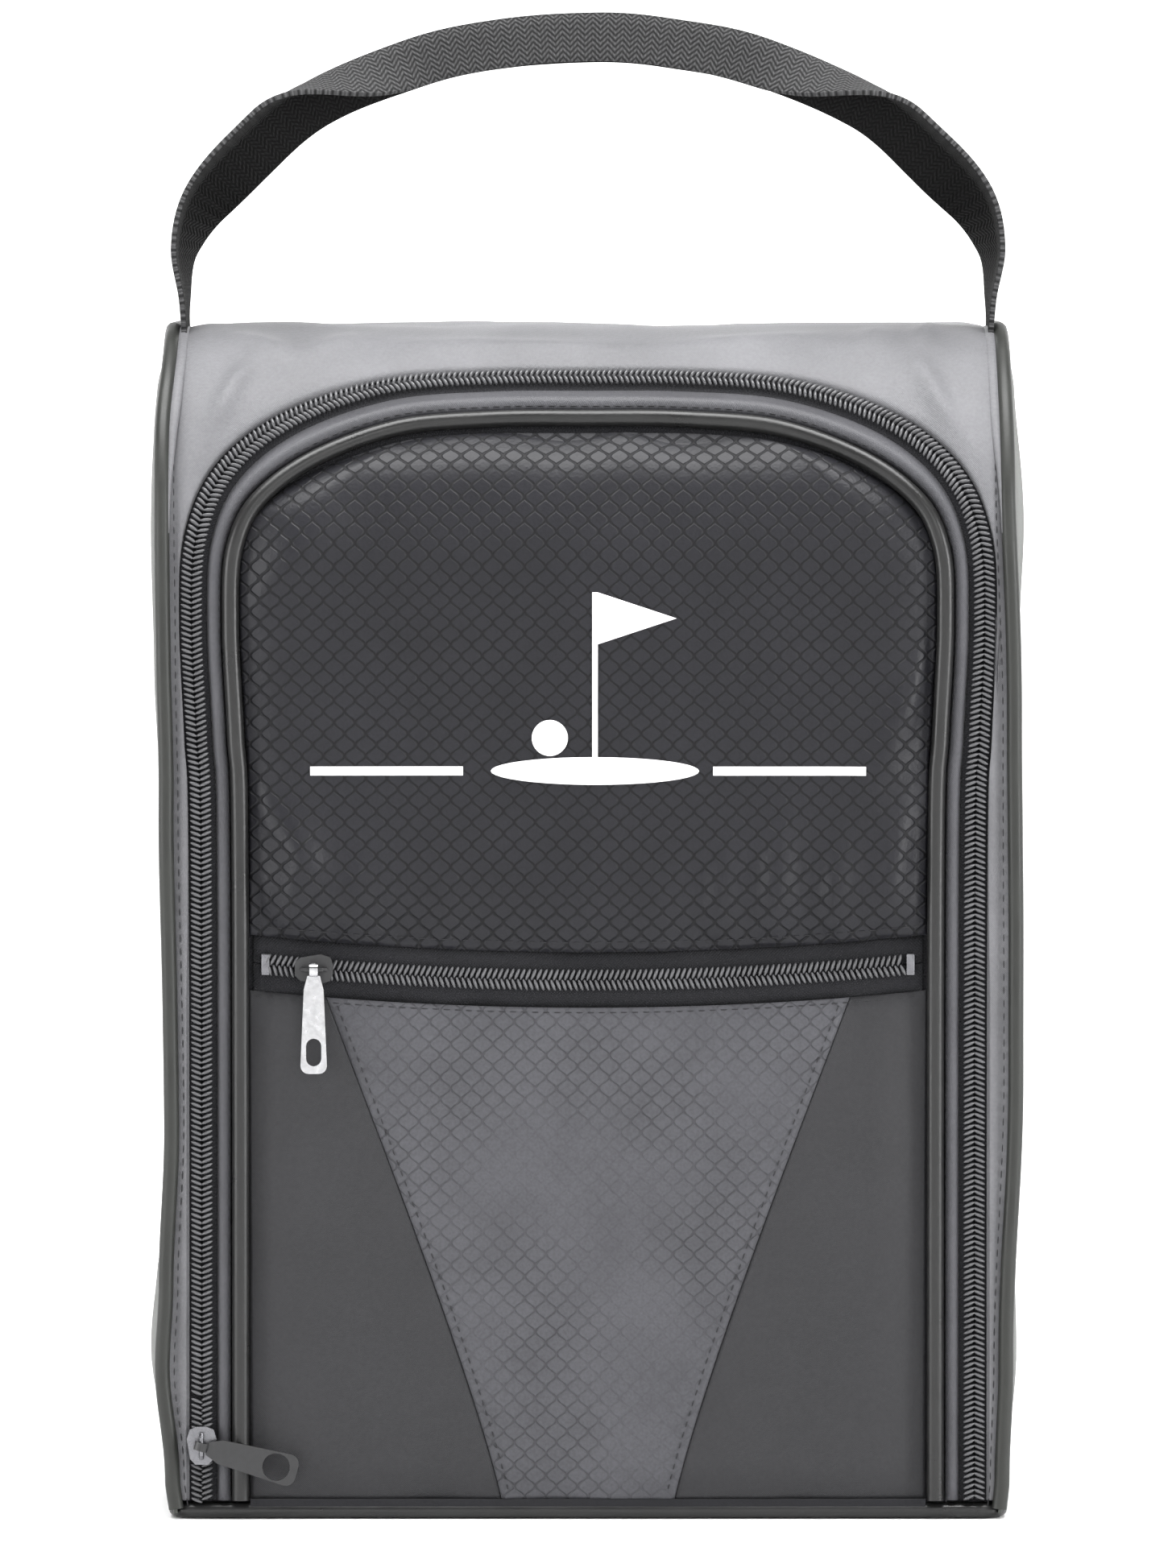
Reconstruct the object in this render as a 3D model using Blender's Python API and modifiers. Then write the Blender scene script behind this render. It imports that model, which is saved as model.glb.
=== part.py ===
"""A zipped golf shoe bag: fabric shell, hinged front door with a zip pocket, two zips and a webbing handle.

Metres, +Z up. The origin is the middle of the base, the door faces -Y and +X is the viewer's right.
Front layers are placed by three numbers: x, s and d. s is the length along the side profile, from the
floor up the front, round the shoulder and over the top; d is the height above the outer fabric.
"""

import math

import bmesh
import bpy
from mathutils import Vector

# Driving dimensions of the bag
HEIGHT = 0.343
HALF_WIDTH = 0.1254
HALF_DEPTH = 0.065
SHOULDER_RADIUS = 0.070
BACK_RADIUS = 0.020
FABRIC = 0.0012
GAP = 0.0004

# Side profile: up the front, round the shoulder, over the top, round the back corner
SHOULDER_Z = HEIGHT - SHOULDER_RADIUS
SHOULDER_Y = -HALF_DEPTH + SHOULDER_RADIUS
BACK_CORNER_Y = HALF_DEPTH - BACK_RADIUS
SHOULDER_END = SHOULDER_Z + SHOULDER_RADIUS * math.pi / 2
TOP_END = SHOULDER_END + BACK_CORNER_Y - SHOULDER_Y
PROFILE_END = TOP_END + BACK_RADIUS * math.pi / 2

# Base
BASE_BOARD_TOP = 0.0040
SIDE_START = 0.0050

# Main zip: half of its centre line as (x, z); it is mirrored on the other side
ZIP_LEG_X = 0.1115
ZIP_START_Z = 0.0055
ZIP_HALF_ROUTE = (
    (ZIP_LEG_X, ZIP_START_Z),
    (ZIP_LEG_X, 0.190),
    (0.1127, 0.225),
    (0.1142, 0.258),
    (0.1128, 0.284),
    (0.1040, 0.3035),
    (0.0850, 0.3180),
    (0.0570, 0.3270),
    (0.0280, 0.3292),
    (0.0, 0.3294),
)
ZIP_STATIONS = 60
ZIP_SLOT = 0.0008
COIL_EDGE = 0.0032
COIL_HEIGHT = 0.0022
TAPE_EDGE = 0.0047
ZIP_END_TAPE_EDGE = 0.0044
TAPE_TOP = -0.0016
TAPE_THICKNESS = 0.0008
SURROUND_EDGE = 0.0048
SURROUND_HALF_WIDTH = 0.1190
SURROUND_LEG = 0.150
BINDING_EDGES = (0.0050, 0.0080)
DOOR_PIPING_OFFSET = 0.0110
DOOR_PIPING_RADIUS = 0.0025
PANEL_OFFSET = 0.0140
TOP_SPREAD = 0.55
SIDE_PIPING_X = 0.1216
SIDE_PIPING_RADIUS = 0.0021
ZIP_END_TOP = 0.036

# Door layers, as d ranges from the outer fabric inwards
POCKET_BACK = (-0.0078, -0.0070)
UPPER_PADDING = (-0.0076, -0.0016)
DOOR_FOAM = (-0.0112, -0.0082)
DOOR_LINING = (-0.0124, -0.0116)
DOOR_BOTTOM = 0.0062
INNER_FOOT_RISE = 0.0020
PADDING_INSET = 0.0030
FOAM_INSET = 0.0020
LINING_INSET = 0.0005
HINGE_Y = -0.0655
HINGE_Z = 0.0040

# Pocket zip: a shallow arc that sags in the middle
POCKET_ARC_RADIUS = 0.95
POCKET_ZIP_Z = 0.1560
POCKET_ZIP_HALF = 0.0950
POCKET_BAND = 0.0080
POCKET_COIL_EDGE = 0.0031

# Tapered centre panel of the pocket, half widths at its top and its bottom
CENTER_TOP_HALF = 0.0755
CENTER_BOTTOM_HALF = 0.0250

# Sliders and pulls
SLIDER_LENGTH = 0.0110
SLIDER_HALF_WIDTH = 0.0043
SLIDER_PLATE = 0.0014
NECK_HALF = 0.0004
BRIDGE_RISE = 0.0030
BRIDGE_RADIUS = 0.0007
EYE_OUTER = 0.0021
EYE_INNER = 0.0012
EYE_WIDTH = 0.0024
MAIN_SLIDER_Z = 0.0215
POCKET_SLIDER_X = -0.0790
MAIN_PULL_LENGTH = 0.0285
MAIN_PULL_WIDTH = 0.0093
MAIN_PULL_DROOP = math.radians(15)
POCKET_PULL_LENGTH = 0.0300
POCKET_PULL_WIDTH = 0.0076
PULL_THICKNESS = 0.0013

# Handle: webbing folded in half over the grip, one half of its crest line as (x, z)
HANDLE_HALF_ROUTE = (
    (0.1180, 0.3490),
    (0.1215, 0.3650),
    (0.1170, 0.3820),
    (0.1037, 0.3975),
    (0.0840, 0.4150),
    (0.0520, 0.4290),
    (0.0230, 0.4350),
    (0.0, 0.4365),
)
HANDLE_Y = 0.005
WEBBING_HALF = 0.016
WEBBING_THICKNESS = 0.0016
HANDLE_STATIONS = 48
HANDLE_AXIS_Z = 0.3440
HANDLE_ROOT_HALF = 0.0020

COLLECTION_NAME = "golf_shoe_bag"


def clear_scene():
    for item in list(bpy.data.objects):
        bpy.data.objects.remove(item, do_unlink=True)


def make_collection(name):
    collection = bpy.data.collections.new(name)
    bpy.context.scene.collection.children.link(collection)
    return collection


def make_material(name, color, roughness, metallic=0.0):
    material = bpy.data.materials.new(name)
    material.use_nodes = True
    shader = material.node_tree.nodes["Principled BSDF"]
    shader.inputs["Base Color"].default_value = (*color, 1.0)
    shader.inputs["Roughness"].default_value = roughness
    shader.inputs["Metallic"].default_value = metallic
    return material


def add_object(name, mesh, look):
    color, roughness, metallic = look
    node = bpy.data.objects.new(name, mesh)
    mesh.materials.clear()
    mesh.materials.append(make_material(name, color, roughness, metallic))
    PARTS.objects.link(node)
    return node


def front_point(x, s, d):
    """The point at x across, s along the side profile and d above the outer fabric."""
    if s <= SHOULDER_Z:
        return Vector((x, -HALF_DEPTH - d, s))
    if s <= SHOULDER_END:
        turn = (s - SHOULDER_Z) / SHOULDER_RADIUS
        radius = SHOULDER_RADIUS + d
        return Vector((x, SHOULDER_Y - radius * math.cos(turn), SHOULDER_Z + radius * math.sin(turn)))
    if s <= TOP_END:
        return Vector((x, SHOULDER_Y + s - SHOULDER_END, HEIGHT + d))
    turn = (s - TOP_END) / BACK_RADIUS
    radius = BACK_RADIUS + d
    corner_z = HEIGHT - BACK_RADIUS
    return Vector((x, BACK_CORNER_Y + radius * math.sin(turn), corner_z + radius * math.cos(turn)))


def profile_length(z):
    """The length along the profile of a point at height z on the front or the shoulder."""
    if z <= SHOULDER_Z:
        return z
    return SHOULDER_Z + SHOULDER_RADIUS * math.asin((z - SHOULDER_Z) / SHOULDER_RADIUS)


def catmull(before, start, end, after, t):
    """A point on the smooth curve from start to end."""
    leaving = (end - before) * 0.5
    arriving = (after - start) * 0.5
    square = t * t
    cube = square * t
    return (
        start * (2 * cube - 3 * square + 1)
        + leaving * (cube - 2 * square + t)
        + end * (3 * square - 2 * cube)
        + arriving * (cube - square)
    )


def smooth_route(points, steps):
    """Evenly spaced points on a smooth curve through the given ones."""
    pieces = 24
    last = len(points) - 1
    dense = []
    for index in range(last):
        before = points[max(index - 1, 0)]
        after = points[min(index + 2, last)]
        for piece in range(pieces):
            dense.append(catmull(before, points[index], points[index + 1], after, piece / pieces))
    dense.append(points[-1].copy())
    lengths = [0.0]
    for first, second in zip(dense, dense[1:]):
        lengths.append(lengths[-1] + (second - first).length)
    result = []
    position = 0
    for step in range(steps + 1):
        target = lengths[-1] * step / steps
        while position < len(dense) - 2 and lengths[position + 1] < target:
            position += 1
        span = lengths[position + 1] - lengths[position]
        result.append(dense[position].lerp(dense[position + 1], (target - lengths[position]) / span))
    return result


def mirrored_route(half_route):
    """A whole left to right route from its right half, which ends on the middle."""
    left = [Vector((-x, z)) for x, z in half_route]
    right = [Vector((x, z)) for x, z in reversed(half_route[:-1])]
    return left + right


def zip_route():
    """Points of the main zip's centre line in (x, s), with the direction away from the door."""
    route = [Vector((point.x, profile_length(point.y))) for point in mirrored_route(ZIP_HALF_ROUTE)]
    points = smooth_route(route, ZIP_STATIONS)
    stations = []
    for index, point in enumerate(points):
        ahead = points[min(index + 1, ZIP_STATIONS)]
        behind = points[max(index - 1, 0)]
        along = (ahead - behind).normalized()
        stations.append((point, Vector((-along.y, along.x))))
    return stations


def beside_zip(station, offset):
    """The (x, s) point at an offset from the zip, positive away from the door; layers spread at the top."""
    point, outward = station
    spread = 1 + TOP_SPREAD * outward.y**2 if offset < 0 and -offset > TAPE_EDGE else 1
    return point + outward * offset * spread


def mapped_slab(name, columns, rows, place, look):
    """A solid slab: a grid of columns by rows with two skins, each point put where place(u, v, w) says."""
    cage = bmesh.new()
    bmesh.ops.create_grid(cage, x_segments=columns, y_segments=rows, size=0.5)
    skin = bmesh.ops.extrude_face_region(cage, geom=list(cage.faces))
    raised = [item for item in skin["geom"] if isinstance(item, bmesh.types.BMVert)]
    bmesh.ops.translate(cage, verts=raised, vec=(0, 0, 1))
    for vertex in cage.verts:
        vertex.co = place(vertex.co.x + 0.5, vertex.co.y + 0.5, vertex.co.z)
    bmesh.ops.recalc_face_normals(cage, faces=cage.faces)
    mesh = bpy.data.meshes.new(name)
    cage.to_mesh(mesh)
    cage.free()
    return add_object(name, mesh, look)


def between(low, high, share):
    return low + (high - low) * share


def zip_strip(name, edges, layer, look, first=0, last=ZIP_STATIONS):
    """A strip that follows the main zip between two offsets and two heights."""

    def place(u, v, w):
        station = ZIP_LINE[first + round(u * (last - first))]
        flat = beside_zip(station, between(edges[0], edges[1], v))
        return front_point(flat.x, flat.y, between(layer[0], layer[1], w))

    return mapped_slab(name, last - first, 1, place, look)


def board(name, low, high, look, bevel=0.0):
    """A plain box between two corners, with its edges eased."""
    cage = bmesh.new()
    bmesh.ops.create_cube(cage, size=1)
    size = Vector(high) - Vector(low)
    bmesh.ops.scale(cage, vec=size, verts=cage.verts)
    mesh = bpy.data.meshes.new(name)
    cage.to_mesh(mesh)
    cage.free()
    node = add_object(name, mesh, look)
    node.location = (Vector(high) + Vector(low)) / 2
    if bevel:
        ease = node.modifiers.new("eased_edges", "BEVEL")
        ease.width = bevel
        ease.segments = 2
    return node


def tube(name, points, radius, look, sides=2):
    """A round cord or bar along the points, with closed ends."""
    curve = bpy.data.curves.new(name, "CURVE")
    curve.dimensions = "3D"
    curve.bevel_depth = radius
    curve.bevel_resolution = sides
    curve.use_fill_caps = True
    spline = curve.splines.new("POLY")
    spline.points.add(len(points) - 1)
    for target, point in zip(spline.points, points):
        target.co = (*point, 1.0)
    curve.materials.append(make_material(name, *look))
    node = bpy.data.objects.new(name, curve)
    PARTS.objects.link(node)
    return node


def outline_mesh(name, outlines, thickness):
    """A flat plate from closed outlines in its own XY plane; later outlines are holes."""
    curve = bpy.data.curves.new(name, "CURVE")
    curve.dimensions = "2D"
    curve.fill_mode = "BOTH"
    curve.extrude = thickness / 2
    for outline in outlines:
        spline = curve.splines.new("POLY")
        spline.points.add(len(outline) - 1)
        for target, point in zip(spline.points, outline):
            target.co = (point[0], point[1], 0, 1)
        spline.use_cyclic_u = True
    holder = bpy.data.objects.new(name, curve)
    bpy.context.scene.collection.objects.link(holder)
    evaluated = holder.evaluated_get(bpy.context.evaluated_depsgraph_get())
    mesh = bpy.data.meshes.new_from_object(evaluated)
    bpy.data.objects.remove(holder)
    welded = bmesh.new()
    welded.from_mesh(mesh)
    bmesh.ops.remove_doubles(welded, verts=welded.verts, dist=0.00001)
    bmesh.ops.recalc_face_normals(welded, faces=welded.faces)
    welded.to_mesh(mesh)
    welded.free()
    return mesh


def round_points(center, radius, start, end, count):
    """Points on an arc from one angle to another, in degrees."""
    points = []
    for index in range(count + 1):
        angle = math.radians(between(start, end, index / count))
        points.append((center[0] + radius * math.cos(angle), center[1] + radius * math.sin(angle)))
    return points


def join_solid(node, tool_mesh, name):
    """Add another solid to a node, so that both are one body."""
    tool = bpy.data.objects.new(name, tool_mesh)
    tool.hide_render = True
    tool.display_type = "WIRE"
    tool.parent = node
    GUIDES.objects.link(tool)
    union = node.modifiers.new(name, "BOOLEAN")
    union.operation = "UNION"
    union.object = tool
    union.solver = "EXACT"


def box_mesh(name, low, high):
    cage = bmesh.new()
    bmesh.ops.create_cube(cage, size=1)
    bmesh.ops.scale(cage, vec=Vector(high) - Vector(low), verts=cage.verts)
    bmesh.ops.translate(cage, vec=(Vector(high) + Vector(low)) / 2, verts=cage.verts)
    mesh = bpy.data.meshes.new(name)
    cage.to_mesh(mesh)
    cage.free()
    return mesh


# Looks: colour, roughness, metallic
TOP_FABRIC = ((0.16, 0.16, 0.17), 0.75, 0.0)
SIDE_FABRIC = ((0.12, 0.125, 0.12), 0.8, 0.0)
DARK_FABRIC = ((0.035, 0.035, 0.04), 0.7, 0.0)
RIPSTOP = ((0.028, 0.028, 0.034), 0.6, 0.0)
CENTER_FABRIC = ((0.085, 0.085, 0.09), 0.7, 0.0)
LINING_FABRIC = ((0.05, 0.05, 0.055), 0.85, 0.0)
PIPING_RUBBER = ((0.02, 0.02, 0.022), 0.45, 0.0)
TAPE_WEAVE = ((0.025, 0.025, 0.028), 0.8, 0.0)
COIL_NYLON = ((0.05, 0.05, 0.055), 0.35, 0.0)
BOARD_PLASTIC = ((0.3, 0.3, 0.3), 0.6, 0.0)
FOAM = ((0.6, 0.6, 0.58), 0.9, 0.0)
WEBBING = ((0.045, 0.045, 0.05), 0.8, 0.0)
GUNMETAL = ((0.12, 0.12, 0.13), 0.35, 1.0)
BLACK_METAL = ((0.015, 0.015, 0.017), 0.4, 0.0)
NICKEL = ((0.75, 0.75, 0.75), 0.2, 1.0)


def make_base():
    inner = HALF_WIDTH - 2 * FABRIC - GAP
    board("base_panel", (-inner, -HALF_DEPTH + 0.001, 0), (inner, HALF_DEPTH, FABRIC), DARK_FABRIC)
    board(
        "base_board",
        (-0.118, -HALF_DEPTH + 0.006, FABRIC + GAP),
        (0.118, HALF_DEPTH - 0.004, BASE_BOARD_TOP),
        BOARD_PLASTIC,
        0.0004,
    )


def make_back():
    """The back panel below the back corner, and the stiff board behind its lining."""
    inner = SURROUND_HALF_WIDTH
    top = HEIGHT - BACK_RADIUS - GAP
    board("back_panel", (-inner, HALF_DEPTH - FABRIC, SIDE_START), (inner, HALF_DEPTH, top), SIDE_FABRIC)
    outer = HALF_DEPTH - FABRIC - GAP
    board("back_board", (-0.114, outer - 0.0020, 0.008), (0.114, outer, top - 0.006), BOARD_PLASTIC, 0.0004)


def side_outline():
    """The side profile as an outline in (y, z), from the front foot over the top to the back foot."""
    lengths = [SIDE_START]
    lengths += [between(SHOULDER_Z, SHOULDER_END, index / 12) for index in range(13)]
    lengths += [between(TOP_END, PROFILE_END, index / 6) for index in range(7)]
    outline = []
    for length in lengths:
        point = front_point(0, length, 0)
        outline.append((point.y, point.z))
    outline.append((HALF_DEPTH, SIDE_START))
    return outline


def make_side_gusset(name, side):
    """A side wall; its flat outline stands in the YZ plane."""
    mesh = outline_mesh(name, [side_outline()], FABRIC)
    node = add_object(name, mesh, SIDE_FABRIC)
    node.rotation_euler = (math.pi / 2, 0, math.pi / 2)
    node.location.x = side * (HALF_WIDTH - FABRIC / 2)
    return node


def make_side_piping(name, side):
    """The piping along the seam between a side wall and the front, top and back."""
    points = [Vector((side * SIDE_PIPING_X, y, z)) for y, z in side_outline()]
    tube(name, points, SIDE_PIPING_RADIUS, PIPING_RUBBER)


def surround_outer_edge(index):
    """The point of the surround's outer edge that belongs to a station of the main zip."""
    half = ZIP_STATIONS // 2
    mirrored = min(index, ZIP_STATIONS - index)
    side = -1 if index <= half else 1
    route_length = SHOULDER_END - SURROUND_LEG + SURROUND_HALF_WIDTH
    low = next(number for number in range(half) if ZIP_LINE[number][0].y >= SURROUND_LEG)
    corner = low + round((half - low) * (SHOULDER_END - SURROUND_LEG) / route_length)
    if mirrored <= low:
        return Vector((side * SURROUND_HALF_WIDTH, ZIP_LINE[mirrored][0].y))
    if mirrored <= corner:
        climb = (mirrored - low) / (corner - low)
        return Vector((side * SURROUND_HALF_WIDTH, between(ZIP_LINE[low][0].y, SHOULDER_END, climb)))
    across = (half - mirrored) / (half - corner)
    return Vector((side * SURROUND_HALF_WIDTH * across, SHOULDER_END))


def make_front_surround():
    """The fabric round the door opening: both sides and the shoulder up to the crest."""

    def place(u, v, w):
        index = round(u * ZIP_STATIONS)
        inner = beside_zip(ZIP_LINE[index], SURROUND_EDGE)
        flat = inner.lerp(surround_outer_edge(index), v)
        return front_point(flat.x, flat.y, between(-FABRIC, 0, w))

    mapped_slab("front_surround", ZIP_STATIONS, 5, place, TOP_FABRIC)


def make_top_panel():
    """The fabric from the crest over the top and round the back corner."""

    def place(u, v, w):
        x = between(-SURROUND_HALF_WIDTH, SURROUND_HALF_WIDTH, u)
        s = between(SHOULDER_END + GAP, PROFILE_END, v)
        return front_point(x, s, between(-FABRIC, 0, w))

    mapped_slab("top_panel", 2, 12, place, TOP_FABRIC)


def make_main_zip():
    end = next(index for index, station in enumerate(ZIP_LINE) if station[0].y > ZIP_END_TOP)
    tape = (TAPE_TOP - TAPE_THICKNESS, TAPE_TOP)
    coil = (TAPE_TOP + GAP, TAPE_TOP + GAP + COIL_HEIGHT)
    outer_tape = (ZIP_SLOT, TAPE_EDGE)
    outer_coil = (ZIP_SLOT, COIL_EDGE)
    zip_strip("main_zip_tape_outer", outer_tape, tape, TAPE_WEAVE, first=end)
    zip_strip("main_zip_coil_outer", outer_coil, coil, COIL_NYLON, first=end)
    zip_strip("main_zip_end_tape", (ZIP_SLOT, ZIP_END_TAPE_EDGE), tape, TAPE_WEAVE, last=end - 1)
    zip_strip("main_zip_end_coil", outer_coil, coil, COIL_NYLON, last=end - 1)
    zip_strip("main_zip_tape_inner", (-TAPE_EDGE, -ZIP_SLOT), tape, TAPE_WEAVE)
    zip_strip("main_zip_coil_inner", (-COIL_EDGE, -ZIP_SLOT), coil, COIL_NYLON)


def make_door_trim():
    """The binding next to the zip and the piping beside it."""
    zip_strip("door_binding", (-BINDING_EDGES[1], -BINDING_EDGES[0]), (-FABRIC, 0), DARK_FABRIC)
    points = []
    for station in ZIP_LINE:
        flat = beside_zip(station, -DOOR_PIPING_OFFSET)
        points.append(front_point(flat.x, flat.y, 0))
    tube("door_piping", points, DOOR_PIPING_RADIUS, PIPING_RUBBER)


def pocket_arc_z(x, offset):
    """Height at x of the arc that lies an offset above the pocket zip's centre line."""
    radius = POCKET_ARC_RADIUS - offset
    return POCKET_ZIP_Z + POCKET_ARC_RADIUS - math.sqrt(radius**2 - x**2)


def panel_half_width(s, inset):
    """Half the width of the door's panels at a length s along the profile."""
    edge = [beside_zip(station, -PANEL_OFFSET) for station in ZIP_LINE[ZIP_STATIONS // 2:]]
    for upper, lower in zip(edge, edge[1:]):
        if lower.y <= s <= upper.y:
            share = (upper.y - s) / max(upper.y - lower.y, 1e-9)
            return between(upper.x, lower.x, share) - inset
    return edge[-1].x - inset


def door_top(inset):
    """The length along the profile of the panels' top edge at the middle."""
    return beside_zip(ZIP_LINE[ZIP_STATIONS // 2], -PANEL_OFFSET).y - inset


def door_layer(name, layer, bottom, inset, look, rows=20, columns=8):
    """A layer of the door from a bottom edge, given as a function of x, up to the rounded top."""
    top = door_top(inset) - 0.0004

    def place(u, v, w):
        share = math.sin(v * math.pi / 2)
        middle = between(bottom(0), top, share)
        half = panel_half_width(middle, inset)
        x = half * (2 * u - 1)
        s = between(bottom(x), top, share)
        return front_point(x, s, between(layer[0], layer[1], w))

    return mapped_slab(name, columns, rows, place, look)


def make_door_panels():
    def panel_foot(x):
        return pocket_arc_z(x, POCKET_BAND + GAP)

    def padding_foot(x):
        return pocket_arc_z(x, POCKET_BAND + PADDING_INSET)

    def inner_foot(x):
        return DOOR_BOTTOM + INNER_FOOT_RISE

    door_layer("door_upper_panel", (-FABRIC, 0), panel_foot, 0, RIPSTOP)
    door_layer("upper_padding", UPPER_PADDING, padding_foot, PADDING_INSET, FOAM, columns=4)
    door_layer("door_foam", DOOR_FOAM, inner_foot, FOAM_INSET, FOAM, columns=4)
    door_layer("door_lining", DOOR_LINING, inner_foot, LINING_INSET, LINING_FABRIC, columns=4)


def lower_panel(name, left_edge, right_edge, look):
    """A panel of the pocket's front between two edges, given as functions of the height share."""

    def place(u, v, w):
        x = between(left_edge(v), right_edge(v), u)
        z = between(DOOR_BOTTOM, pocket_arc_z(x, -POCKET_BAND - GAP), v)
        return front_point(x, z, between(-FABRIC, 0, w))

    return mapped_slab(name, 4, 8, place, look)


def make_pocket_front():
    outer = panel_half_width(DOOR_BOTTOM, 0)

    def seam(v, side, step):
        taper = between(CENTER_BOTTOM_HALF, CENTER_TOP_HALF, v**1.15)
        return side * (taper + step)

    half_gap = GAP / 2
    lower_panel("pocket_panel_left", lambda v: -outer, lambda v: seam(v, -1, half_gap), DARK_FABRIC)
    lower_panel("pocket_panel_center", lambda v: seam(v, -1, -half_gap), lambda v: seam(v, 1, -half_gap),
                CENTER_FABRIC)
    lower_panel("pocket_panel_right", lambda v: seam(v, 1, half_gap), lambda v: outer, DARK_FABRIC)


def make_pocket_lining():
    half = panel_half_width(DOOR_BOTTOM, 0.002)

    def place(u, v, w):
        x = between(-half, half, u)
        z = between(DOOR_BOTTOM + 0.002, pocket_arc_z(x, 0), v)
        return front_point(x, z, between(POCKET_BACK[0], POCKET_BACK[1], w))

    mapped_slab("pocket_lining", 6, 2, place, LINING_FABRIC)


def arc_strip(name, offsets, layer, look, half=POCKET_ZIP_HALF):
    """A strip along the pocket zip's arc between two offsets and two heights."""

    def place(u, v, w):
        x = between(-half, half, u)
        z = pocket_arc_z(x, between(offsets[0], offsets[1], v))
        return front_point(x, z, between(layer[0], layer[1], w))

    return mapped_slab(name, 24, 1, place, look)


def make_pocket_zip():
    tape = (TAPE_TOP - TAPE_THICKNESS, TAPE_TOP)
    coil = (TAPE_TOP + GAP, TAPE_TOP + GAP + COIL_HEIGHT)
    tape_edge = POCKET_BAND - 0.0010
    for name, side in (("upper", 1), ("lower", -1)):
        edges = sorted((side * ZIP_SLOT, side * tape_edge))
        arc_strip("pocket_zip_tape_" + name, edges, tape, TAPE_WEAVE)
        edges = sorted((side * ZIP_SLOT, side * POCKET_COIL_EDGE))
        arc_strip("pocket_zip_coil_" + name, edges, coil, COIL_NYLON, half=POCKET_ZIP_HALF - 0.004)
    for name, side in (("left", -1), ("right", 1)):
        x = side * (POCKET_ZIP_HALF - 0.002)
        z = pocket_arc_z(x, 0)
        low = (x - 0.0012, -HALF_DEPTH - 0.0011, z - POCKET_COIL_EDGE)
        high = (x + 0.0012, -HALF_DEPTH + 0.0011, z + POCKET_COIL_EDGE)
        board("pocket_zip_stop_" + name, low, high, BLACK_METAL, 0.0003)


def make_hinge_tape():
    """The strip that joins the door's foot to the base; the door turns about it."""
    half = panel_half_width(DOOR_BOTTOM, 0)
    low = (-half, -HALF_DEPTH - 0.0004, HINGE_Z - 0.0018)
    high = (half, -HALF_DEPTH + 0.0008, DOOR_BOTTOM - GAP)
    board("door_hinge_tape", low, high, TAPE_WEAVE)


def slider_outline():
    """A zip slider's plate: wide shoulders, a narrower tail and rounded ends, along its own Y."""
    half = SLIDER_LENGTH / 2
    wide = SLIDER_HALF_WIDTH
    narrow = SLIDER_HALF_WIDTH * 0.78
    right = [(narrow * 0.55, -half), (narrow, -half * 0.7), (wide, half * 0.35), (wide * 0.8, half * 0.85)]
    tip = [(wide * 0.3, half)]
    left = [(-x, y) for x, y in reversed(right + tip)]
    return right + tip + left


def make_slider(prefix, look, turn):
    """A slider in its own frame: its travel along +Y turned by turn, its top plate facing -Y of the bag."""
    plate_low = TAPE_TOP + 2 * GAP + COIL_HEIGHT
    plate_high = plate_low + SLIDER_PLATE
    under_high = TAPE_TOP - TAPE_THICKNESS - GAP
    under_low = under_high - SLIDER_PLATE + 0.0002
    body = add_object(prefix + "_body", outline_mesh(prefix + "_body", [slider_outline()], SLIDER_PLATE), look)
    middle = (plate_low + plate_high) / 2
    under = outline_mesh(prefix + "_under", [slider_outline()], under_high - under_low)
    for vertex in under.vertices:
        vertex.co.z += (under_low + under_high) / 2 - middle
    join_solid(body, under, prefix + "_under")
    neck_low = (-NECK_HALF, 0.0005, under_low + 0.0005 - middle)
    neck_high = (NECK_HALF, SLIDER_LENGTH / 2 - 0.0012, plate_high - 0.0005 - middle)
    join_solid(body, box_mesh(prefix + "_neck", neck_low, neck_high), prefix + "_neck")
    foot = SLIDER_PLATE / 2 + 0.0003
    reach = SLIDER_LENGTH / 2 - 0.0022
    rise = foot + BRIDGE_RISE
    points = [(0, -reach, foot), (0, -reach, rise - 0.0008), (0, -reach + 0.0009, rise)]
    points += [(0, reach - 0.0009, rise), (0, reach, rise - 0.0008), (0, reach, foot)]
    bridge = tube(prefix + "_bridge", points, BRIDGE_RADIUS, look)
    for node in (body, bridge):
        node.rotation_euler = (math.pi / 2, turn, 0)
    return middle, middle + rise


def place_nodes(names, location):
    for name in names:
        bpy.data.objects[name].location = location


def pull_mesh(name, length, width, hole, thickness):
    """A flat pull along its own -Y from its eye at the origin, with a hole near its free end."""
    half = width / 2
    neck = EYE_WIDTH / 2 + 0.0006
    top = -EYE_OUTER + 0.0004
    corner = half * 0.6
    end = -length
    outline = [(-neck, top), (-half * 0.75, top - 0.004)]
    outline += round_points((-half + corner, end + corner), corner, 180, 270, 4)
    outline += round_points((half - corner, end + corner), corner, 270, 360, 4)
    outline += [(half * 0.75, top - 0.004), (neck, top)]
    hole_width, hole_height, hole_center = hole
    radius = hole_width / 2
    straight = hole_height / 2 - radius
    opening = round_points((0, hole_center + straight), radius, 0, 180, 8)
    opening += round_points((0, hole_center - straight), radius, 180, 360, 8)
    if straight < 0.0001:
        opening = round_points((0, hole_center), radius, 0, 337.5, 15)
    return outline_mesh(name, [outline, opening], thickness)


def eye_mesh(name):
    """The round eye about its own X axis that hangs on the slider's bridge."""
    mesh = outline_mesh(
        name,
        [round_points((0, 0), EYE_OUTER, 0, 345, 23), round_points((0, 0), EYE_INNER, 0, 330, 11)],
        EYE_WIDTH,
    )
    for vertex in mesh.vertices:
        vertex.co = (vertex.co.z, vertex.co.x, vertex.co.y)
    return mesh


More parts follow.
